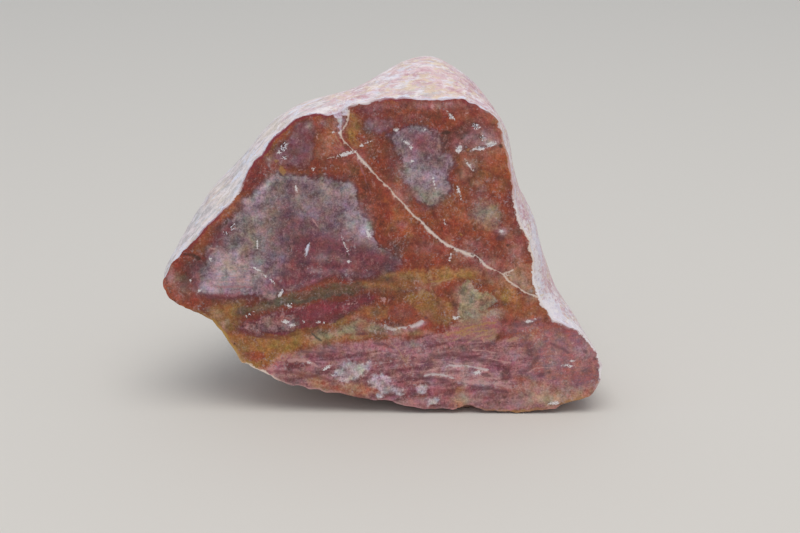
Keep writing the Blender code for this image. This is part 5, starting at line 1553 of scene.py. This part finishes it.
def add_crystals(stone, druse, material_number):
    """Joins the quartz points to the stone's mesh, flat shaded and in their own material"""
    whole = bmesh.new()
    whole.from_mesh(stone.data)
    body_faces = len(whole.faces)
    whole.from_mesh(druse)
    whole.faces.ensure_lookup_table()
    for face in whole.faces[body_faces:]:
        face.material_index = material_number
        face.smooth = False
    whole.to_mesh(stone.data)
    whole.free()


class JASPER_OT_stone(Operator):
    """Model the stone's surface, colour its minerals and grow the quartz in its vugs"""

    bl_idname = "jasper.stone"
    bl_label = "Jasper Stone"

    def execute(self, context):
        size = sizes()
        grain = grain_group()
        breccia = breccia_group(grain, zone_group())
        details = detail_group(line_group())
        stone = new_piece(SURFACE, stone_mesh())
        quartz = quartz_material()
        for material in (polished_material(breccia, details), skin_material(breccia, grain), quartz):
            stone.data.materials.append(material)
        stone.data = through_nodes(stone, relief_tree(), {
            "Rind Relief": size.rind_relief, "Broken Relief": size.broken_relief,
            "Rind Thickness": size.rind_thickness})
        druse = through_nodes(stone, druse_tree(), {
            "Width": size.crystal_width, "Seed": size.crystal_seed, "Material": quartz})
        add_crystals(stone, druse, 2)
        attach(stone, BODY)
        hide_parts(STONE)
        return {"FINISHED"}


# Studio, in metres, apart from the aim, which is a place on the cut face, and the camera's distance

FLOOR_SIDE = 6.0
FLOOR_COLOUR = "d2cfca"
FLOOR_ROUGHNESS = 0.8
SKY_COLOUR = "e9edf2"
SKY_STRENGTH = 0.72
BOX_PLACE = (0.05, -0.3, 0.95)
BOX_SIDES = (0.9, 0.7)
BOX_COLOUR = "fff8f0"
BOX_POWER = 5.0
AIM = (3.5, -1.0)
CAMERA_DISTANCE = 450.0
CAMERA_RISE = math.radians(18)
LENS = 88.04
SENSOR = 36.0


class JASPER_OT_studio(Operator):
    """Lay the pale floor, light it softly and set the camera"""

    bl_idname = "jasper.studio"
    bl_label = "Studio"

    def execute(self, context):
        context.scene.view_settings.view_transform = "Standard"
        self.lay_floor()
        self.light(context.scene)
        context.scene.camera = self.camera()
        return {"FINISHED"}

    def lay_floor(self):
        """A plain pale floor, with room all round the stone"""
        ground = bmesh.new()
        bmesh.ops.create_grid(ground, x_segments=1, y_segments=1, size=FLOOR_SIDE / 2)
        mesh = bpy.data.meshes.new("floor")
        ground.to_mesh(mesh)
        ground.free()
        material, _, shader = fresh_material("pale_floor")
        shader["Base Color"].default_value = (*linear(FLOOR_COLOUR), 1.0)
        shader["Roughness"].default_value = FLOOR_ROUGHNESS
        mesh.materials.append(material)
        new_piece("floor", mesh)

    def light(self, scene):
        """Even light from all round, and one large soft box above the front"""
        scene.world = scene.world or bpy.data.worlds.new("studio")
        scene.world.use_nodes = True
        background = next(node for node in scene.world.node_tree.nodes if node.type == "BACKGROUND")
        background.inputs["Color"].default_value = (*linear(SKY_COLOUR), 1.0)
        background.inputs["Strength"].default_value = SKY_STRENGTH
        lamp = bpy.data.lights.new("soft_box", "AREA")
        lamp.shape = "RECTANGLE"
        lamp.size, lamp.size_y = BOX_SIDES
        lamp.energy = BOX_POWER
        lamp.color = linear(BOX_COLOUR)
        box = new_piece("soft_box", lamp)
        box.location = BOX_PLACE
        aim = Vector(MIDDLE * MM) - box.location
        box.rotation_euler = aim.to_track_quat("-Z", "Y").to_euler()

    def camera(self):
        """A camera that looks down at the middle of the cut face"""
        lens = bpy.data.cameras.new("camera")
        lens.lens = LENS
        lens.sensor_width = SENSOR
        lens.clip_start = 0.01
        camera = new_piece("camera", lens)
        away = np.array((0.0, -math.cos(CAMERA_RISE), math.sin(CAMERA_RISE)))
        camera.location = Vector((place(*AIM) + CAMERA_DISTANCE * away) * MM)
        camera.rotation_euler = (math.pi / 2 - CAMERA_RISE, 0.0, 0.0)
        return camera


class JASPER_PT_panel(Panel):
    """Lists the stone's operators, sizes and colours"""

    bl_label = "Brecciated Jasper"
    bl_idname = "JASPER_PT_panel"
    bl_space_type = "VIEW_3D"
    bl_region_type = "UI"
    bl_category = "Jasper"

    def draw(self, context):
        column = self.layout.column(align=True)
        for operator in OPERATORS:
            column.operator(operator.bl_idname)
        for group in (context.scene.jasper_sizes, context.scene.jasper_minerals):
            column = self.layout.column(align=True)
            for name in group.__annotations__:
                column.prop(group, name)


OPERATORS = (JASPER_OT_stone, JASPER_OT_studio)
CLASSES = (JasperSizes, JasperMinerals, *OPERATORS, JASPER_PT_panel)


def register():
    """Makes the add-on's classes and the scene's properties known"""
    for cls in CLASSES:
        bpy.utils.register_class(cls)
    bpy.types.Scene.jasper_sizes = PointerProperty(type=JasperSizes)
    bpy.types.Scene.jasper_minerals = PointerProperty(type=JasperMinerals)


def unregister():
    """Takes away what register added"""
    del bpy.types.Scene.jasper_minerals
    del bpy.types.Scene.jasper_sizes
    for cls in reversed(CLASSES):
        bpy.utils.unregister_class(cls)


def main():
    """Makes the stone and its studio"""
    register()
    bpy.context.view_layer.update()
    for operator in OPERATORS:
        group, name = operator.bl_idname.split(".")
        getattr(getattr(bpy.ops, group), name)()


if __name__ == "__main__":
    main()
